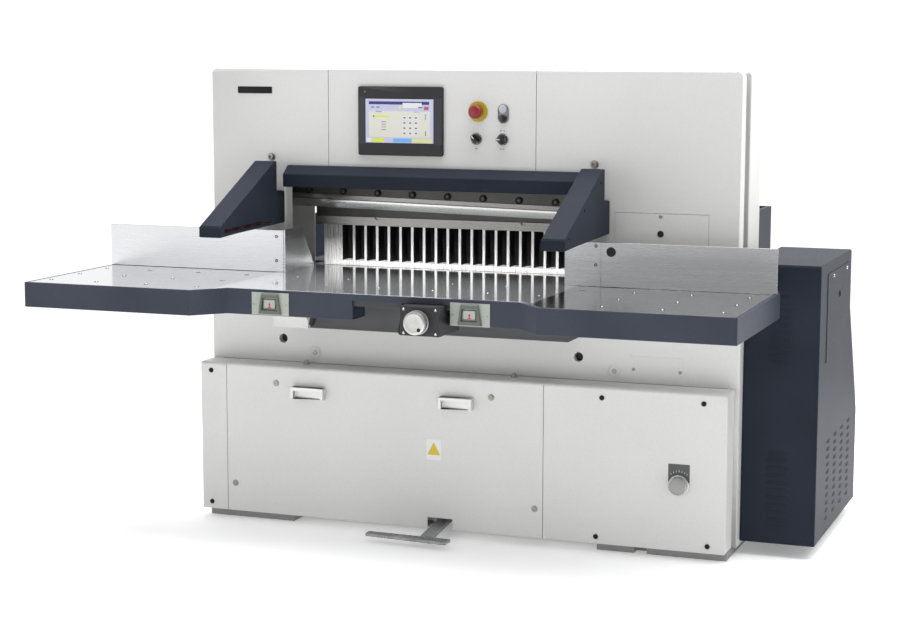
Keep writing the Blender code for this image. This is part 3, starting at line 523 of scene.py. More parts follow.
# Body sheet under the tables: one folded sheet with two lifting holes. Each hole shows the frame's bore
# behind, and two large screw plugs and a small inspection plate sit beside them.
softened("lower_body_panel", light_coat, 0.004,
         where=lambda at: abs(at.x) > (body_high.x - body_low.x) / 2 - 0.001 and at.y < 0.001)
bm = bmesh.new()
for x, z in ((-0.689, 0.650), (0.415, 0.645)):
    turned(bm, (x, 0.0031, z), (0, -1, 0), [(0, -0.022), (0.0166, -0.022), (0.0166, 0), (0.0200, 0),
                                            (0.0200, -0.024), (0, -0.024)], index=1)
    # A black disc near the bottom of each bore is painted shade in the hole.
    turned(bm, (x, 0.0031, z), (0, -1, 0), [(0, -0.0205), (0.0164, -0.0205), (0.0164, -0.0219),
                                            (0, -0.0219)])
piece("lifting_bores", bm, [black_pvc_and_painted_shade, light_coat], "machine")
bm = bmesh.new()
for x, z in ((-0.565, 0.605), (0.541, 0.604)):
    turned(bm, (x, 0, z), (0, -1, 0),
           [(0.0225, -0.0005), (0.0225, 0.0010), (0.0215, 0.0018), (0.0200, 0.0020), (0.0196, 0.0008),
            (0.0182, 0.0008), (0.0178, 0.0020), (0, 0.0020)])
    turned(bm, (x, -0.0019, z), (0, -1, 0), [(0.0085, 0), (0.0085, 0.0022), (0.0074, 0.0034),
                                             (0.0044, 0.0034, "hex"), (0.0044, 0.0008, "hex"),
                                             (0, 0.0008)], index=1)
piece("body_plugs", bm, [light_coat, zinc], "machine")
bm = bmesh.new()
slab(bm, rounded(0.594, 0.780, 0.571, 0.660, 0.002), "Y", -0.0012, 0.0005)
piece("inspection_plate", bm, light_coat, "machine", edge=0.0005)
fixings("inspection_screws", [(0.608, -0.0012, 0.614), (0.769, -0.0012, 0.612)], (0, -1, 0), small_screw,
        zinc)


# Lower covers: three deep boxes of folded sheet over the base, the middle one lifted off by its handles.
# Black socket screws hold the outer two, quarter-turn locks the middle one.
cover_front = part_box("front_cover")[0].y - datum.y
ledge_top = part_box("front_cover")[1].z
cover_ends = {"left_end_cover": -1, "front_cover": 0, "right_front_cover": 1}
for node, side in cover_ends.items():
    low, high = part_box(node)
    outer_x = (low.x if side < 0 else high.x) - datum.x

    def cover_edge(at, side=side, outer_x=outer_x):
        if side and abs(at.x - outer_x) < 0.001:
            return 1.0
        return 0.25 if at.y < cover_front + 0.001 else 0.0
    softened(node, light_coat, 0.0045, where=cover_edge, segments=3)
screw_spots = ((-0.927, 0.536), (-0.930, 0.055), (0.529, 0.529), (0.876, 0.531), (0.513, 0.054),
               (0.896, 0.054))
fixings("cover_screws", [(x, cover_front, z) for x, z in screw_spots], (0, -1, 0),
        [(0.0088, -0.0005), (0.0088, 0.0010), (0.0080, 0.0030), (0.0058, 0.0044), (0.0036, 0.0048, "hex"),
         (0.0036, 0.0016, "hex"), (0, 0.0016)], black_oxide_and_painted_shade)
lock_spots = ((-0.670, 0.504), (-0.835, 0.131), (0.138, 0.505), (0.296, 0.131))
fixings("quarter_turn_locks", [(x, cover_front, z) for x, z in lock_spots], (0, -1, 0),
        [(0.0112, -0.0005), (0.0112, 0.0012), (0.0104, 0.0024), (0.0082, 0.0028), (0.0078, 0.0018),
         (0.0070, 0.0018), (0.0066, 0.0034), (0.0030, 0.0036, "hex"), (0.0030, 0.0014, "hex"),
         (0, 0.0014)], zinc)
# Pull handles: chromed die castings riveted to the cover, a flat bar on two posts.
# Satin chrome over die-cast zinc: bright, with a broad soft shine.
bright_chrome = surface("satin_chromed_zinc", "#CFCFCD", "#D8D8D6", (0.34, 0.44), 0.006, 0.00002,
                        even={"Metallic": 0.6})
for node in ("left_cover_handle", "right_cover_handle"):
    softened(node, bright_chrome, 0.0015)
# Blank sticker: a white vinyl card with a plain yellow triangle, and no sign or wording on it. Printed
# vinyl film is flat and half-gloss.
white_vinyl = surface("printed_white_vinyl", "#DEDEDE", "#E4E4E4", (0.35, 0.45), 0.004, 0.00001)
yellow_vinyl = surface("printed_yellow_vinyl", "#C9B01E", "#D6BC28", (0.35, 0.45), 0.004, 0.00001)
bm = bmesh.new()
label_x, label_z = -0.071, 0.308
slab(bm, rounded(label_x - 0.027, label_x + 0.027, label_z - 0.036, label_z + 0.036, 0.003), "Y",
     cover_front - 0.0004, cover_front + 0.0003)
slab(bm, [(label_x - 0.024, label_z - 0.018), (label_x + 0.024, label_z - 0.018), (label_x, label_z + 0.027)],
     "Y", cover_front - 0.0006, cover_front - 0.0002, 1)
piece("blank_sticker", bm, [white_vinyl, yellow_vinyl], "machine")
# Ledge bolts: hexagon bolts with washers that tie the covers' top to the body.
fixings("ledge_bolts", [(0.195, -0.030, ledge_top), (-0.585, -0.030, ledge_top)], (0, 0, 1),
        [(0.0120, -0.0010), (0.0120, 0.0020), (0.0092, 0.0022, "hex"), (0.0092, 0.0095, "hex"),
         (0.0078, 0.0110), (0.0040, 0.0112), (0.0040, 0.0150), (0, 0.0152)], zinc)


# Guard arms and the bar over the knife: welded sheet boxes in the dark powder coat. The arms carry the
# light beams, and their tips end in a separate cap.
softened("knife_bar_cover", dark_coat, 0.0035)
for node in ("left_guard_arm", "right_guard_arm"):
    softened(node, dark_coat, 0.0045)
for side in ("left", "right"):
    low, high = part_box(f"{side}_guard_arm")
    left, right, tip = low.x - datum.x, high.x - datum.x, low.y - datum.y
    bm = bmesh.new()
    slab(bm, [(tip - 0.0015, 1.0575), (tip + 0.004, 1.0555), (tip + 0.004, 1.0925), (tip - 0.0015, 1.0895)],
         "X", left - 0.0008, right + 0.0008)
    piece(f"{side}_arm_cap", bm, dark_coat, "machine", edge=0.0012)
    outer = 1 if side == "right" else -1
    flank = right if side == "right" else left
    arm_spots = [(flank, y, z) for y, z in ((-0.110, 1.246), (-0.292, 1.168), (-0.455, 1.092))]
    fixings(f"{side}_arm_screws", arm_spots, (outer, 0, 0),
            [(0.0050, -0.001), (0.0050, 0.0008), (0.0040, 0.0018), (0.0024, 0.0020, "hex"),
             (0.0024, 0.0006, "hex"), (0, 0.0006)], black_oxide_and_painted_shade)
# Light-beam windows: strips of dark red acrylic along the arms' inner sides, cast and polished so that they
# shine like dark glass.
dark_acrylic = surface("dark_red_acrylic", "#1E0C0E", "#240E10", (0.06, 0.12), 0.02, 0.00001,
                       even={"IOR": 1.49})
for side, flank, inward in (("left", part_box("left_guard_arm")[1].x - datum.x, 1),
                            ("right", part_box("right_guard_arm")[0].x - datum.x, -1)):
    bm = bmesh.new()
    slab(bm, [(-0.470, 1.070), (-0.120, 1.076), (-0.120, 1.088), (-0.470, 1.082)], "X",
         flank - inward * 0.001, flank + inward * 0.0006)
    piece(f"{side}_beam_window", bm, dark_acrylic, "machine", edge=0.0003)


# Rear guard: a folded channel wall round the rear table, with a rolled top edge.
softened("rear_guard", dark_coat, 0.003)
guard_low, guard_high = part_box("rear_guard")
bm = bmesh.new()
for x in (-0.55, 0.0, 0.55):
    for z in (0.872, 1.006):
        turned(bm, (x, guard_high.y - datum.y, z), (0, 1, 0), small_screw)
for y in (0.42, 0.87, 1.32):
    for outward in (-1, 1):
        turned(bm, (outward * (guard_high.x - guard_low.x) / 2, y, 0.872), (outward, 0, 0), small_screw)
piece("rear_guard_screws", bm, black_oxide_and_painted_shade, "machine")


# Electrical cabinet: a narrow folded steel cabinet beside the machine, with louvres pressed into its front
# and its outer side, and an access panel with a barrel lock.
cabinet_low, cabinet_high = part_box("electrical_cabinet")
cabinet_front = cabinet_low.y - datum.y
cabinet_side = cabinet_high.x - datum.x
softened("electrical_cabinet", dark_coat, 0.0005, where=lambda at: at.z < 0.1)
softened("cabinet_side_panel", dark_coat, 0.0008, where=lambda at: at.x > cabinet_side)
bm = bmesh.new()
for start, pitch in ((0.100, 0.0250), (0.653, 0.0231)):
    for row in range(11):
        louvre(bm, "Y", (cabinet_front, -1), 1.093, start + pitch * row, 0.078)
piece("cabinet_front_louvres", bm, [dark_coat, black_pvc_and_painted_shade], "machine", sharp=50)
bm = bmesh.new()
for column in range(4):
    for row in range(11):
        louvre(bm, "X", (cabinet_side, 1), 0.262 + 0.135 * column, 0.096 + louvre_pitch * row, 0.062)
piece("cabinet_side_louvres", bm, [dark_coat, black_pvc_and_painted_shade], "machine", sharp=50)
door_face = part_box("cabinet_side_panel")[1].x - datum.x
fixings("cabinet_screws", [(door_face, 0.275, 0.928), (door_face, 0.535, 0.928)], (1, 0, 0), small_screw,
        nickel)
bm = bmesh.new()
turned(bm, (door_face, 0.400, 0.853), (1, 0, 0), [(0.0098, -0.0012), (0.0098, 0.0002), (0.0125, 0.0003),
                                                  (0.0125, 0.0012), (0.0105, 0.0022), (0.0092, 0.0008),
                                                  (0.0092, 0.0008), (0, 0.0008)])
# The key slot is a black bar, painted shade in the slot.
block(bm, (door_face + 0.0007, door_face + 0.0020), (0.3985, 0.4015), (0.8455, 0.8605), 1)
piece("cabinet_lock", bm, [black_oxide_and_painted_shade, black_pvc_and_painted_shade], "machine")


# Touch panel: a glass front in a flat moulded bezel, sealed against the control panel. The picture is the
# panel's own light, with plain fields, keys and bars and no lettering.


# Moulded ABS, fine spark-eroded texture: dark grey, evenly dull.
textured_abs = surface("textured_black_abs", "#1A1A1D", "#212126", (0.46, 0.60), 0.0012, 0.00006)
# Screen printed polyester overlay round the glass: blue-grey, smoother than the bezel.
overlay_film = surface("overlay_film", "#23242C", "#282932", (0.28, 0.36), 0.003, 0.00001)
softened("touch_panel_bezel", textured_abs, 0.0028, where=lambda at: at.y < -0.0115)


def lit(name, colour, glow=0.12):
    """Field of the lit screen: its colour under the glass's gloss, and as its own light."""
    return surface(name, colour, colour, (0.08, 0.12), 0.05, 0.000002, even={
        "Emission Color": linear(colour), "Emission Strength": glow, "IOR": 1.5})


screen_low, screen_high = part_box("touch_screen")
screen_x, screen_z = screen_low.x - datum.x, screen_low.z
screen_width, screen_height = screen_high.x - screen_low.x, screen_high.z - screen_low.z
screen_face = screen_low.y - datum.y
fields = [lit("screen_lavender", "#B4B5CE"), lit("screen_cream", "#CBCAC0"), lit("screen_navy", "#20226E"),
          lit("screen_lime", "#C8D23C"), lit("screen_sky", "#5FA4DC"), lit("screen_slate", "#5C6276"),
          lit("screen_straw", "#C9CC86"), lit("screen_red", "#A84A50"), lit("screen_white", "#D2D2D6")]
# Each field is (left, right, low, high) in shares of the screen, its colour and how far forward it lies.
layout = [((0, 1, 0, 1), 0, 0), ((0.05, 0.95, 0.13, 0.72), 1, 1), ((0.05, 0.94, 0.875, 0.945), 2, 1),
          ((0.55, 0.83, 0.80, 0.915), 8, 2), ((0.13, 0.34, 0.585, 0.625), 3, 2),
          ((0.11, 0.13, 0.583, 0.627), 5, 2), ((0.865, 0.93, 0.755, 0.835), 7, 2),
          ((0.875, 0.895, 0.535, 0.665), 4, 2), ((0.880, 0.893, 0.17, 0.28), 5, 2),
          ((0.50, 0.53, 0.77, 0.84), 3, 2), ((0.08, 0.13, 0.80, 0.825), 5, 2),
          ((0.16, 0.21, 0.80, 0.825), 5, 2), ((0.78, 0.84, 0.80, 0.83), 5, 3),
          ((0.15, 0.24, 0.70, 0.715), 5, 2), ((0.72, 0.80, 0.70, 0.715), 4, 2)]
for left, right, colour in ((0.02, 0.09, 8), (0.10, 0.27, 3), (0.29, 0.40, 0), (0.41, 0.68, 4),
                            (0.69, 0.98, 6)):
    layout.append(((left, right, 0.012, 0.105), colour, 1))
for row in range(4):
    for column in range(3):
        left, low = 0.545 + 0.085 * column, 0.575 - 0.118 * row
        layout.append(((left, left + 0.062, low - 0.035, low + 0.040), 8, 2))
        layout.append(((left + 0.014, left + 0.048, low - 0.014, low + 0.020), 5, 3))
for row in range(4):
    layout.append(((0.235, 0.305, 0.475 - 0.06 * row, 0.490 - 0.06 * row), 5, 2))
bm = bmesh.new()
for (left, right, low, high), colour, layer in layout:
    front = screen_face - 0.00012 * layer
    thickness = 0.0002 if layer else 0.0012
    block(bm, (screen_x + screen_width * left, screen_x + screen_width * right), (front, front + thickness),
          (screen_z + screen_height * low, screen_z + screen_height * high), colour)
piece("touch_screen_picture", bm, fields, "machine", ["touch_screen"])
fixings("touch_panel_lamp", [(-0.363, -0.012, 1.5325)], (0, -1, 0),
        [(0.0032, -0.0005), (0.0032, 0.0003), (0.0024, 0.0008), (0, 0.0010)], fields[5])
bm = bmesh.new()
for left, right in ((-0.3855, -0.3635), (-0.1065, -0.0785)):
    block(bm, (left, right), (-0.01225, -0.0115), (1.352, 1.513))
piece("touch_panel_overlay", bm, overlay_film, "machine")


# Emergency stop: a moulded red mushroom on a neck over a yellow disc with a clamping ring.


# Moulded polycarbonate, self-coloured: glossy, with a slight ripple from the tool.
red_polycarbonate = surface("moulded_red_polycarbonate", "#7C1016", "#8A161C", (0.24, 0.36), 0.004, 0.00004,
                            even={"Coat Weight": 0.2, "Coat Roughness": 0.2})
# Moulded yellow ABS: a duller gloss than the mushroom's.
yellow_abs = surface("moulded_yellow_abs", "#A8921A", "#B59E22", (0.30, 0.42), 0.004, 0.00004)


def hub(node):
    """Middle of a node in X and Z, in the machine's own axes."""
    low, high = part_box(node)
    return (low.x + high.x) / 2 - datum.x, (low.z + high.z) / 2


stop_x, stop_z = hub("estop_collar")
bm = bmesh.new()
turned(bm, (stop_x, 0, stop_z), (0, -1, 0),
       [(0.0102, -0.0200), (0.0102, 0.0112), (0.0140, 0.0114), (0.0140, 0.0200), (0.0224, 0.0208),
        (0.0234, 0.0225), (0.0234, 0.0330), (0.0227, 0.0372), (0.0203, 0.0405), (0.0190, 0.0398),
        (0.0172, 0.0400), (0.0088, 0.0411), (0, 0.0415)], sides=48)
piece("estop_mushroom", bm, red_polycarbonate, "estop", ["estop_button"], sharp=40)
bm = bmesh.new()
turned(bm, (stop_x, 0, stop_z), (0, -1, 0),
       [(0.0350, 0.0003), (0.0350, 0.0030), (0.0342, 0.0040), (0.0200, 0.0046), (0.0106, 0.0046),
        (0.0106, 0.0003)], sides=48)
piece("estop_disc", bm, yellow_abs, "machine", ["estop_collar"], sharp=40)
fixings("estop_ring", [(stop_x, 0, stop_z)], (0, -1, 0),
        [(0.0185, 0.0040), (0.0185, 0.0058), (0.0172, 0.0066), (0.0148, 0.0066), (0.0146, 0.0040)],
        black_pvc_and_painted_shade, sides=32)


# Double push button: an oval chromed bezel round a white start button and a black stop button. Both caps
# are polycarbonate, the white one milky right through.
white_lens = surface("milky_polycarbonate", "#A4AAB8", "#BCC0C9", (0.10, 0.18), 0.02, 0.00001,
                     even={"Coat Weight": 0.4, "Coat Roughness": 0.05})
# Black polycarbonate from a polished mould: deep and glossy.
glossy_black = surface("glossy_black_polycarbonate", "#0C0C0E", "#121214", (0.10, 0.18), 0.02, 0.00001,
                       even={"Coat Weight": 0.3, "Coat Roughness": 0.06})
# Chromed die-cast zinc: smooth, a little softer than polished steel because the casting shows through.
panel_chrome = surface("chromed_zinc_rim", "#8E8F92", "#9B9C9F", (0.12, 0.20), 0.004, 0.00001, patch=0.3,
                       even={"Metallic": 1})
pair_x, start_z = hub("start_button")
middle_z = (start_z + hub("stop_button")[1]) / 2


def oval(half_width, half_height, steps=12):
    """Upright stadium outline about the double button's middle."""
    outline = []
    for part, lift in ((0, half_height - half_width), (1, half_width - half_height)):
        for step in range(steps + 1):
            angle = math.pi * (part + step / steps)
            outline.append((pair_x + half_width * math.cos(angle),
                            middle_z + lift + half_width * math.sin(angle)))
    return outline


bm = bmesh.new()
loops = []
for half_width, half_height, front in ((0.0195, 0.0325, 0.0), (0.0195, 0.0325, -0.0035),
                                       (0.0180, 0.0310, -0.0058), (0.0158, 0.0288, -0.0058),
                                       (0.0150, 0.0280, -0.0035)):
    loops.append([bm.verts.new(Vector((x, front, z)) + datum) for x, z in oval(half_width, half_height)])
for first, second in zip(loops, loops[1:]):
    for step in range(len(first)):
        after = (step + 1) % len(first)
        bm.faces.new([first[step], first[after], second[after], second[step]])
bm.faces.new(loops[0])
bm.faces.new(loops[-1])
piece("double_button_bezel", bm, panel_chrome, "machine", sharp=50)
for node, finish, body, slot in (("start_button", white_lens, "start", "white"),
                                 ("stop_button", glossy_black, "stop", "black")):
    x, z = hub(node)
    bm = bmesh.new()
    turned(bm, (x, 0, z), (0, -1, 0),
           [(0.0088, -0.0150), (0.0088, 0.0045), (0.0136, 0.0047), (0.0138, 0.0084), (0.0128, 0.0094),
            (0.0090, 0.0100), (0, 0.0102)], sides=32)
    piece(f"{node}_lens", bm, finish, body, [node])


# Selector switches: a black knob with a moulded grip on a chromed collar. A white line on the grip shows
# which way it points.
for side, rest_angle in (("left", 40), ("right", 90)):
    x, z = hub(f"selector_switch_{side}")
    fixings(f"{side}_selector_collar", [(x, 0, z)], (0, -1, 0),
            [(0.0205, 0.0000), (0.0205, 0.0028), (0.0192, 0.0046), (0.0178, 0.0046), (0.0172, 0.0015),
             (0.0172, 0.0000)], panel_chrome, sides=32)
    bm = bmesh.new()
    turned(bm, (x, 0, z), (0, -1, 0),
           [(0.0078, -0.0190), (0.0078, 0.0010), (0.0166, 0.0012), (0.0166, 0.0095), (0.0150, 0.0118),
            (0, 0.0122)], sides=32)
    grip = slab(bm, [(x - 0.0055, z - 0.0155), (x + 0.0055, z - 0.0155), (x + 0.0048, z + 0.0165),
                     (x - 0.0048, z + 0.0165)], "Y", -0.0270, -0.0110)
    marker = slab(bm, [(x - 0.0016, z + 0.0020), (x + 0.0016, z + 0.0020), (x + 0.0016, z + 0.0160),
                       (x - 0.0016, z + 0.0160)], "Y", -0.0275, -0.0265, 1)
    hand = {vert for face in grip + marker for vert in face.verts}
    bmesh.ops.rotate(bm, verts=list(hand), cent=Vector((x, 0, z)) + datum,
                     matrix=Matrix.Rotation(-math.radians(rest_angle), 3, "Y"))
    piece(f"{side}_selector_knob", bm, [glossy_black, white_vinyl], f"{side}_selector",
          [f"selector_switch_{side}"], edge=0.0008)
# Engraved marks under the controls: short plain dashes filled with dark paint.
bm = bmesh.new()
for x, z, half in ((0.044, 1.343, 0.004), (0.132, 1.343, 0.003), (0.142, 1.343, 0.003), (0.132, 1.405, 0.003),
                   (0.144, 1.405, 0.003)):
    block(bm, (x - half, x + half), (-0.0002, 0.0003), (z - 0.0012, z + 0.0012))
piece("panel_marks", bm, textured_abs, "machine")


# Two-hand cut buttons: an off-white key in each plate, under a raised shroud that keeps a sleeve off it.
# Both have to be pressed for the knife to come down.


# Anodised aluminium plate, grey-green, etched matt.
anodised_green = surface("grey_green_anodised_aluminium", "#9DA39B", "#A6ACA4", (0.42, 0.54), 0.0015, 0.00002,
                         even={"Metallic": 0.25})
# Moulded ABS, grey-green and fine-textured for the shroud, ivory and smoother for the key.
shroud_abs = surface("moulded_grey_green_abs", "#535A52", "#5F665E", (0.44, 0.56), 0.002, 0.00005)
key_abs = surface("moulded_ivory_abs", "#A6AAA3", "#B1B5AE", (0.34, 0.46), 0.003, 0.00003)
# Marking ink, pad printed: flat red with no gloss of its own.
red_mark = surface("red_marking_ink", "#B0343C", "#BC4048", (0.40, 0.50), 0.002, 0.00001)
plate_edge = -0.5760
# The key's mark: an upright arrow standing on a bar.
arrow = [(-0.007, -0.0125), (0.007, -0.0125), (0.007, -0.0095), (0.0022, -0.0095), (0.0022, -0.0030),
         (0.0050, -0.0030), (0, 0.0050), (-0.0050, -0.0030), (-0.0022, -0.0030), (-0.0022, -0.0095),
         (-0.007, -0.0095)]
for side in ("left", "right"):
    softened(f"{side}_cut_button_plate", anodised_green, 0.0005, where=lambda at: at.y < plate_edge)
    low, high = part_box(f"{side}_cut_button_plate")
    x, z = (low.x + high.x) / 2 - datum.x, (low.z + high.z) / 2
    front = low.y - datum.y
    bm = bmesh.new()
    rings = []
    for half_low, half_high, half_z, out in ((0.0415, 0.0300, 0.0345, 0.0),
                                             (0.0375, 0.0275, 0.0315, -0.012),
                                             (0.0290, 0.0240, 0.0210, -0.012),
                                             (0.0255, 0.0235, 0.0185, -0.0005)):
        corners = [(-half_low, -half_z), (half_low, -half_z), (half_high, half_z), (-half_high, half_z)]
        rings.append([bm.verts.new(Vector((x + u, front + out, z + w)) + datum) for u, w in corners])
    for first, second in zip(rings, rings[1:] + rings[:1]):
        for step in range(4):
            after = (step + 1) % 4
            bm.faces.new([first[step], first[after], second[after], second[step]])
    piece(f"{side}_cut_button_shroud", bm, shroud_abs, "machine", edge=0.0010)
    bm = bmesh.new()
    slab(bm, rounded(x - 0.0200, x + 0.0200, z - 0.0140, z + 0.0140, 0.002), "Y",
         front - 0.0050, front + 0.0090)
    slab(bm, [(x + u, z + w) for u, w in arrow], "Y", front - 0.0054, front - 0.0046, 1)
    piece(f"{side}_cut_key", bm, [key_abs, red_mark], f"{side}_cut", [f"{side}_cut_button"],
          edge=0.0004)
    fixings(f"{side}_cut_plate_screws", [(x - 0.058, front, z - 0.002), (x + 0.058, front, z - 0.002)],
            (0, -1, 0), [(0.0036, -0.0005), (0.0036, 0.0006), (0.0026, 0.0016), (0.0014, 0.0016, "hex"),
                         (0.0014, 0.0006, "hex"), (0, 0.0006)], zinc, sides=18)


# Hand pulse wheel: a turned aluminium wheel with a knurled rim on a black box under the table's front edge.
# A dimple in its face takes a finger.


# Satin anodised aluminium, turned: pale, with a soft wide shine.
satin_aluminium = surface("satin_turned_aluminium", "#B9B9B7", "#C4C4C2", (0.22, 0.34), 0.0010, 0.00001,
                          even={"Metallic": 0.9})
box_edge = -0.60
softened("handwheel_box", textured_abs, 0.0018, where=lambda at: at.y < box_edge)
wheel_x, wheel_z = hub("handwheel")
box_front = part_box("handwheel_box")[0].y - datum.y


def knurled(bm, centre, out, radius, start, end, teeth, depth=0.0006):
    """Adds the straight-knurled band of a wheel's rim."""
    step_count = teeth * 2
    rings = []
    for height in (start, end):
        ring = []
        for step in range(step_count):
            angle = 2 * math.pi * step / step_count
            reach = radius - depth * (step % 2)
            ring.append(bm.verts.new(Vector(centre) + datum + Vector(out) * height
                                     + Vector((math.cos(angle), 0, math.sin(angle))) * reach))
        rings.append(ring)
    for step in range(step_count):
        after = (step + 1) % step_count
        bm.faces.new([rings[0][step], rings[0][after], rings[1][after], rings[1][step]])
    bm.faces.new(rings[0])
    bm.faces.new(rings[1])


bm = bmesh.new()
turned(bm, (wheel_x, box_front, wheel_z), (0, -1, 0),
       [(0.0078, -0.0265), (0.0078, 0.0012), (0.0385, 0.0016), (0.0390, 0.0040), (0.0390, 0.0060),
        (0.0365, 0.0066), (0.0365, 0.0080)], sides=64)
turned(bm, (wheel_x, box_front, wheel_z), (0, -1, 0),
       [(0.0365, 0.0270), (0.0365, 0.0290), (0.0358, 0.0315), (0.0330, 0.0335), (0.0305, 0.0340),
        (0.0300, 0.0328), (0.0285, 0.0326), (0.0100, 0.0332), (0, 0.0333)], sides=64)
knurled(bm, (wheel_x, box_front, wheel_z), (0, -1, 0), 0.0378, 0.0075, 0.0275, 60)
piece("handwheel_turned", bm, satin_aluminium, "pulse_wheel", ["handwheel"], sharp=30)
# The finger dimple is drawn black, as painted shade in the recess.
fixings("handwheel_dimple", [(wheel_x + 0.016, box_front - 0.0327, wheel_z - 0.020)], (0, -1, 0),
        [(0.0062, -0.0010), (0.0062, 0.0012), (0.0054, 0.0018), (0.0040, 0.0006), (0.0018, 0.0001), (0, 0)],
        black_oxide_and_painted_shade, body="pulse_wheel")
box_spots = [(wheel_x + u, box_front, wheel_z + w) for u in (-0.048, 0.060) for w in (-0.036, 0.040)]
fixings("handwheel_box_screws", box_spots, (0, -1, 0),
        [(0.0042, -0.0005), (0.0042, 0.0008), (0.0032, 0.0020), (0.0018, 0.0020, "hex"),
         (0.0018, 0.0008, "hex"), (0, 0.0008)], nickel, sides=18)
# Lead of the pulse wheel: soft black rubber, with a moulded grommet where it enters the box.
soft_rubber = surface("extruded_black_rubber", "#151517", "#1C1C1F", (0.55, 0.70), 0.002, 0.00004)
softened("handwheel_cable", soft_rubber, 0.0005, where=lambda at: 0.0)
fixings("handwheel_grommet", [(0.018, -0.603, 0.792)], (-1, 0, 0),
        [(0.0060, -0.0005), (0.0060, 0.0022), (0.0050, 0.0032), (0.0032, 0.0060), (0.0032, -0.0005)],
        black_pvc_and_painted_shade)


# Under the tables: the bed's end bracket of painted plate, a bare strut from it, and the ends of the
# skirts where they stop beside the hand pulse wheel's box.
bm = bmesh.new()
slab(bm, [(-0.140, 0.712), (-0.120, 0.712), (-0.120, 0.858), (-0.300, 0.858), (-0.300, 0.852),
          (-0.140, 0.740)], "X", -0.661, -0.528)
piece("bed_bracket", bm, light_coat, "machine", edge=0.0015)
fixings("table_strut", [(-0.488, -0.196, 0.735)], (0.28, -0.10, 1),
        [(0.0095, 0), (0.0100, 0.004), (0.0100, 0.115), (0.0090, 0.120)], black_oxide_and_painted_shade)
bm = bmesh.new()
for x in (-0.172, 0.162):
    block(bm, (x - 0.0015, x + 0.0015), (-0.562, -0.470), (0.816, 0.8595))
piece("skirt_ends", bm, dark_coat, "machine", edge=0.0008)


# Clamp pressure knob: a turned aluminium knob with a coarse knurl, pushed on its spindle over a small
# etched scale.
knob_x, knob_z = hub("pressure_knob")
bm = bmesh.new()
knob = (knob_x, cover_front, knob_z)
turned(bm, knob, (0, -1, 0), [(0.0078, -0.0240), (0.0078, 0.0030), (0.0345, 0.0034), (0.0350, 0.0060),
                              (0.0330, 0.0075), (0.0300, 0.0078)], sides=64)
turned(bm, knob, (0, -1, 0), [(0.0300, 0.0205), (0.0305, 0.0225), (0.0296, 0.0252), (0.0286, 0.0258),
                              (0.0280, 0.0250), (0, 0.0250)], sides=64)
turned(bm, knob, (0, -1, 0), [(0.0279, 0.0246), (0.0279, 0.0253), (0.0272, 0.0256), (0, 0.0257)], sides=64,
       index=1)
knurled(bm, knob, (0, -1, 0), 0.0312, 0.0072, 0.0215, 48, 0.0009)
# Brushed face disc: duller and greyer than the turned rim round it.
face_disc = surface("brushed_aluminium_disc", "#8E8E8D", "#989897", (0.38, 0.50), 0.0012, 0.00001,
                    stretch=(0.05, 1, 1), even={"Metallic": 0.5})
piece("pressure_knob_turned", bm, [satin_aluminium, face_disc], "pressure_setting", ["pressure_knob"],
      sharp=30)
# Etched zinc plate: dark grey, dull, with bare edges.
etched_plate = surface("etched_zinc_plate", "#4E4F4F", "#585959", (0.40, 0.52), 0.002, 0.00002,
                       even={"Metallic": 0.5})
bm = bmesh.new()
slab(bm, rounded(0.760, 0.833, 0.263, 0.324, 0.002), "Y", cover_front - 0.0005, cover_front + 0.0003)
piece("pressure_scale", bm, etched_plate, "machine")
bm = bmesh.new()
for step in range(-3, 4):
    angle = math.radians(12 * step)
    inner, outer = 0.044, 0.049 + 0.003 * (step == 0)
    across = Vector((math.cos(angle), 0, -math.sin(angle))) * 0.0006
    along = Vector((math.sin(angle), 0, math.cos(angle)))
    middle = Vector((knob_x, 0, knob_z))
    corners = [middle + along * inner - across, middle + along * inner + across,
               middle + along * outer + across, middle + along * outer - across]
    slab(bm, [(c.x, c.z) for c in corners], "Y", cover_front - 0.0008, cover_front - 0.0003)
piece("pressure_scale_marks", bm, white_vinyl, "machine")


# Foot pedal: a cast tread with raised lozenges on a welded arm, bare steel polished by shoes.


# Cast steel, cleaned and handled: grey with brighter worn tops.
worn_steel = surface("worn_cast_steel", "#858687", "#B2B3B4", (0.30, 0.50), 0.006, 0.0003, patch=0.05,
                     even={"Metallic": 0.8})
softened("foot_pedal", worn_steel, 0.0015)
pedal_high = 0.030
random.seed(7)
bm = bmesh.new()
for row in range(2):
    for step in range(24):
        along = (step + 0.5 * (row % 2) + 0.35) / 24.5
        x = -0.266 + 0.298 * along
        near = -0.247 - 0.025 * along
        far = -0.212 - 0.010 * along
        y = near + (far - near) * (0.30 + 0.40 * row)
        turn = math.radians(45 if (step + row) % 2 else -45)
        ring = []
        for angle in range(0, 360, 45):
            long_way = 0.0056 * math.cos(math.radians(angle))
            short_way = 0.0019 * math.sin(math.radians(angle))
            ring.append((x + long_way * math.cos(turn) - short_way * math.sin(turn),
                         y + long_way * math.sin(turn) + short_way * math.cos(turn)))
        slab(bm, ring, "Z", pedal_high - 0.0004, pedal_high + random.uniform(0.0012, 0.0016))
piece("pedal_lozenges", bm, worn_steel, "pedal", edge=0.0004)


# Knife beam and knife: a ground beam that slides down behind the covers, a hardened blade clamped to it by
# a row of black socket bolts, and in front the bright ground lip that guides it.


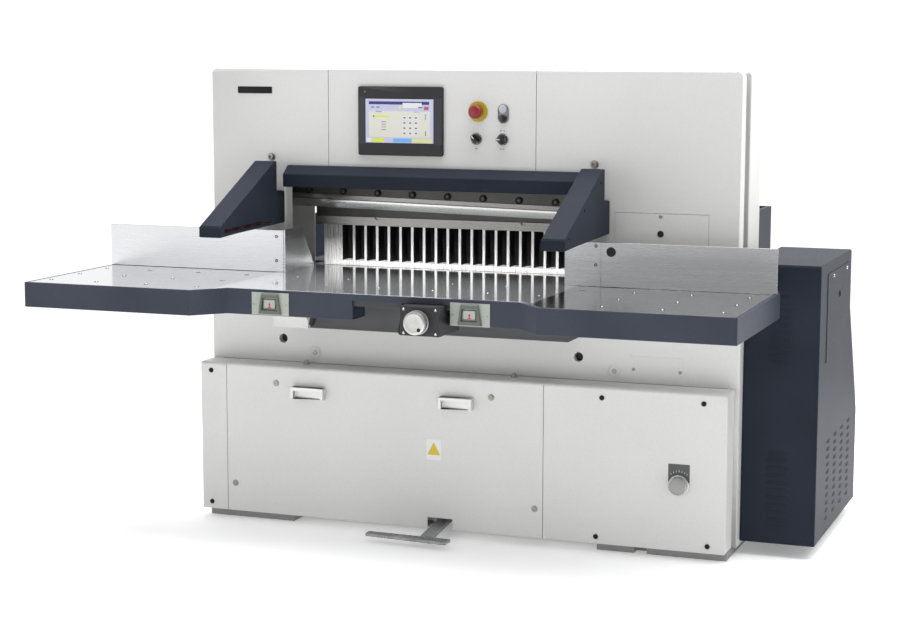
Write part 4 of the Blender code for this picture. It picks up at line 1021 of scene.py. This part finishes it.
# Surface-ground tool steel: fine bright lines along the beam. The darker copy is painted shade, on the beam
# behind the covers and on the clamp's face under the bar.
ground_steel = surface("surface_ground_steel", "#8D8D8A", "#A09F9B", (0.22, 0.36), 0.0018, 0.00002,
                       stretch=(0.01, 1, 1), even={"Metallic": 1.0})
ground_painted_shade = surface("ground_steel_painted_shade", "#4A4947", "#5A5956", (0.30, 0.46), 0.0018, 0.00003,
                      stretch=(0.01, 1, 1), patch=0.15, even={"Metallic": 0.9})
softened("knife_beam", ground_painted_shade, 0.0008, where=lambda at: 0.0)
# Honed tool steel: the blade's bevel, nearly a mirror with a trace of the stone's lines.
honed_edge = surface("honed_tool_steel", "#CFCFCD", "#DCDCDA", (0.12, 0.22), 0.0015, 0.00001,
                     stretch=(0.01, 1, 1), even={"Metallic": 1.0})
softened("knife", honed_edge, 0.0004, where=lambda at: 0.0)
pin = Vector(frame["record"]["behaviour"]["joints"][1]["pos_m"]) - datum
rest_tilt = math.radians(1.2)
tilt = Matrix.Rotation(rest_tilt, 3, "Y")


def on_beam(x, y, z):
    """A point drawn on the level beam, brought to the beam's slope at rest. z is above the pin."""
    return pin + tilt @ Vector((x - pin.x, y - pin.y, z))


first_bolt, bolt_pitch = -0.649, 0.1329
fixings("knife_bolts", [on_beam(first_bolt + bolt_pitch * bolt, 0.1445, -0.021) for bolt in range(8)],
        (0, -1, 0), [(0.0122, -0.0080), (0.0122, 0.0020), (0.0112, 0.0034), (0.0068, 0.0034, "hex"),
                     (0.0068, -0.0030, "hex"), (0, -0.0030)], black_oxide_and_painted_shade, body="knife_assembly")
bm = bmesh.new()
strip = [(0.1496, -0.0505), (0.1470, -0.0485), (0.1470, -0.0345), (0.1496, -0.0330), (0.1506, -0.0330),
         (0.1506, -0.0505)]
ends = []
for x in (-0.785, 0.580):
    ends.append([bm.verts.new(on_beam(x, y, z) + datum) for y, z in strip])
for step in range(len(strip)):
    after = (step + 1) % len(strip)
    bm.faces.new([ends[0][step], ends[0][after], ends[1][after], ends[1][step]])
bm.faces.new(ends[0])
bm.faces.new(ends[1])
piece("knife_beam_strip", bm, ground_steel, "knife_assembly")
softened("knife_block", primer_and_painted_shade, 0.002)
softened("knife_cylinder", primer_and_painted_shade, 0.002)


# Clamp: a cast beam with a ground lip that presses the stack, lifted by a hydraulic piston in the middle.
clamp_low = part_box("clamp_beam")[0].z
# Above the lip the clamp's face takes the darker copy, as painted shade under the bar.
softened("clamp_beam", [ground_painted_shade, ground_steel], 0.0010,
         sort=lambda at, facing: int(at.z < clamp_low + 0.032))
softened("clamp_cylinder", primer_and_painted_shade, 0.0015)


# Backgauge: a cast comb with ground finger faces, on a foot strip that slides on the table. Its deep gaps and
# the fingers' sides are drawn black, as painted shade.
gauge_gap_shade = surface("gauge_gaps_painted_shade", "#121214", "#1C1C1E", (0.45, 0.62), 0.004, 0.0002)
gauge_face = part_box("backgauge")[0].y - datum.y
# Ground steel fingers: pale, with the grinding lines upright.
finger_steel = surface("ground_finger_faces", "#E6E6E4", "#EEEEEC", (0.22, 0.34), 0.0018, 0.00002,
                       stretch=(1, 1, 0.02), even={"Metallic": 0.6})
# The foot's edge is ground along its length. Its near-white, less metallic base is a painted highlight, so
# that it shines white under the lamp.
foot_painted_highlight = surface("foot_edge_painted_highlight", "#F4F4F3", "#FAFAF9", (0.18, 0.26), 0.0018, 0.000005,
                     stretch=(0.02, 1, 1), patch=0.1, even={"Metallic": 0.25})


foot_height = 0.0125


def gauge_finish(at, facing):
    """Foot strip in its painted highlight, ground tops and finger faces, and the gaps between them in painted
    black shade.
    """
    if at.z < table_high + foot_height:
        return 2
    ground = facing.z > 0.9 or (facing.y < -0.9 and at.y < gauge_face + 0.001)
    return 0 if ground else 1


softened("backgauge", [finger_steel, gauge_gap_shade, foot_painted_highlight], 0.0007, sort=gauge_finish, segments=2,
         where=lambda at: 0.5 if at.y < gauge_face + 0.06 else 1)


# Gauge drive and oil unit under the rear table: a rolled screw, a servo motor and a tank with its pump
# motor.


# Rolled screw steel: the thread shows as 6 mm bands of relief across the screw.
screw_steel = surface("rolled_screw_steel", "#8E8E8C", "#A2A2A0", (0.22, 0.34), 0.006, 0.0008,
                      stretch=(0.1, 1, 0.1), even={"Metallic": 1.0})
softened("lead_screw", screw_steel, 0.001)
# Black enamel over die-cast aluminium: half-gloss and smooth.
motor_paint = surface("black_motor_enamel", "#141416", "#1D1D20", (0.35, 0.48), 0.003, 0.00008)
softened("gauge_motor", motor_paint, 0.004)
softened("hydraulic_unit", dark_coat, 0.004)
motor_low, motor_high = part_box("gauge_motor")
first_fin, fin_pitch, fin_thickness, fin_height = 0.020, 0.014, 0.003, 0.003
fin_outline = rounded(motor_low.x - datum.x - fin_height, motor_high.x - datum.x + fin_height,
                      motor_low.z - fin_height, motor_high.z + fin_height, 0.008)
bm = bmesh.new()
for fin in range(6):
    y = motor_low.y - datum.y + first_fin + fin_pitch * fin
    slab(bm, fin_outline, "Y", y, y + fin_thickness)
piece("motor_fins", bm, motor_paint, "machine")


# Studio: a plain white floor, a white sky, softboxes above and to the right, and a weaker one in front.
# The sky is brighter behind the machine than in front, so that polished steel shows some contrast.
bm = bmesh.new()
slab(bm, [(-6, -6), (6, -6), (6, 3.2), (-6, 3.2)], "Z", -0.03, -0.0005)
mesh = bpy.data.meshes.new("studio_floor")
bm.to_mesh(mesh)
bm.free()
floor = bpy.data.objects.new("studio_floor", mesh)
bpy.context.scene.collection.objects.link(floor)
# Matt white lacquer, with a little light of its own to keep the floor white round the machine.
mesh.materials.append(surface("white_floor_lacquer", "#FAFAFA", "#FEFEFE", (0.70, 0.85), 0.05, 0.00002,
                              patch=2.0, even={"Emission Color": linear("#FFFFFF"),
                                               "Emission Strength": 0.25}))

world = bpy.data.worlds.new("studio")
bpy.context.scene.world = world
world.use_nodes = True
sky = world.node_tree
facing = add(sky, "TexCoord").outputs["Generated"]
toward = add(sky, "SeparateXYZ", {"Vector": facing}).outputs["Y"]
glow = add(sky, "MapRange", {"Value": toward, "From Min": -0.5, "From Max": 0.3, "To Min": 0.52,
                             "To Max": 1.15})
sky.links.new(glow.outputs["Result"], sky.nodes["Background"].inputs["Strength"])
sky.nodes["Background"].inputs["Color"].default_value = linear("#FFFFFF")


def softbox(name, place, target, size, power, spread=math.pi):
    """Rectangular area light aimed at a point."""
    lamp = bpy.data.lights.new(name, "AREA")
    lamp.shape = "RECTANGLE"
    lamp.size, lamp.size_y = size
    lamp.spread = spread
    lamp.energy = power
    made = bpy.data.objects.new(name, lamp)
    made.location = place
    made.rotation_euler = (Vector(target) - Vector(place)).to_track_quat("-Z", "Y").to_euler()
    bpy.context.scene.collection.objects.link(made)


softbox("key", (3.8, 0.3, 6.2), (0.2, 0, 0.8), (5.0, 5.0), 250)
softbox("front_fill", (-3.4, -5.6, 1.3), (0, 0, 0.95), (3.0, 2.4), 24)
# Narrow studio lamp under the bar over the knife, aimed at the gauge's foot.
softbox("throat_strip", (-0.06, -0.3385, 1.185), (-0.06, -0.1275, 0.902), (1.06, 0.03), 0.6, spread=0.40)
softbox("top", (0, -0.6, 5.4), (0, -0.6, 0.8), (5.0, 4.0), 260)

scene = bpy.context.scene
scene.view_settings.view_transform = "Standard"

# Camera: a long lens at standing height, off to the operator's right, looking slightly down.
camera_data = bpy.data.cameras.new("camera")
camera_data.lens = 79.39
camera_data.sensor_width = 36.0
camera = bpy.data.objects.new("camera", camera_data)
scene.collection.objects.link(camera)
yaw, pitch, roll = 0.3603, 0.1370, 0.0016
backward = Vector((math.sin(yaw) * math.cos(pitch), -math.cos(yaw) * math.cos(pitch), math.sin(pitch)))
rightward = Vector((math.cos(yaw), math.sin(yaw), 0))
upward = backward.cross(rightward)
rolled_right = rightward * math.cos(roll) + upward * math.sin(roll)
rolled_up = upward * math.cos(roll) - rightward * math.sin(roll)
camera.matrix_world = Matrix.Translation((2.4048, -6.7516, 1.6982)) @ Matrix(
    (rolled_right, rolled_up, backward)).transposed().to_4x4()
scene.camera = camera
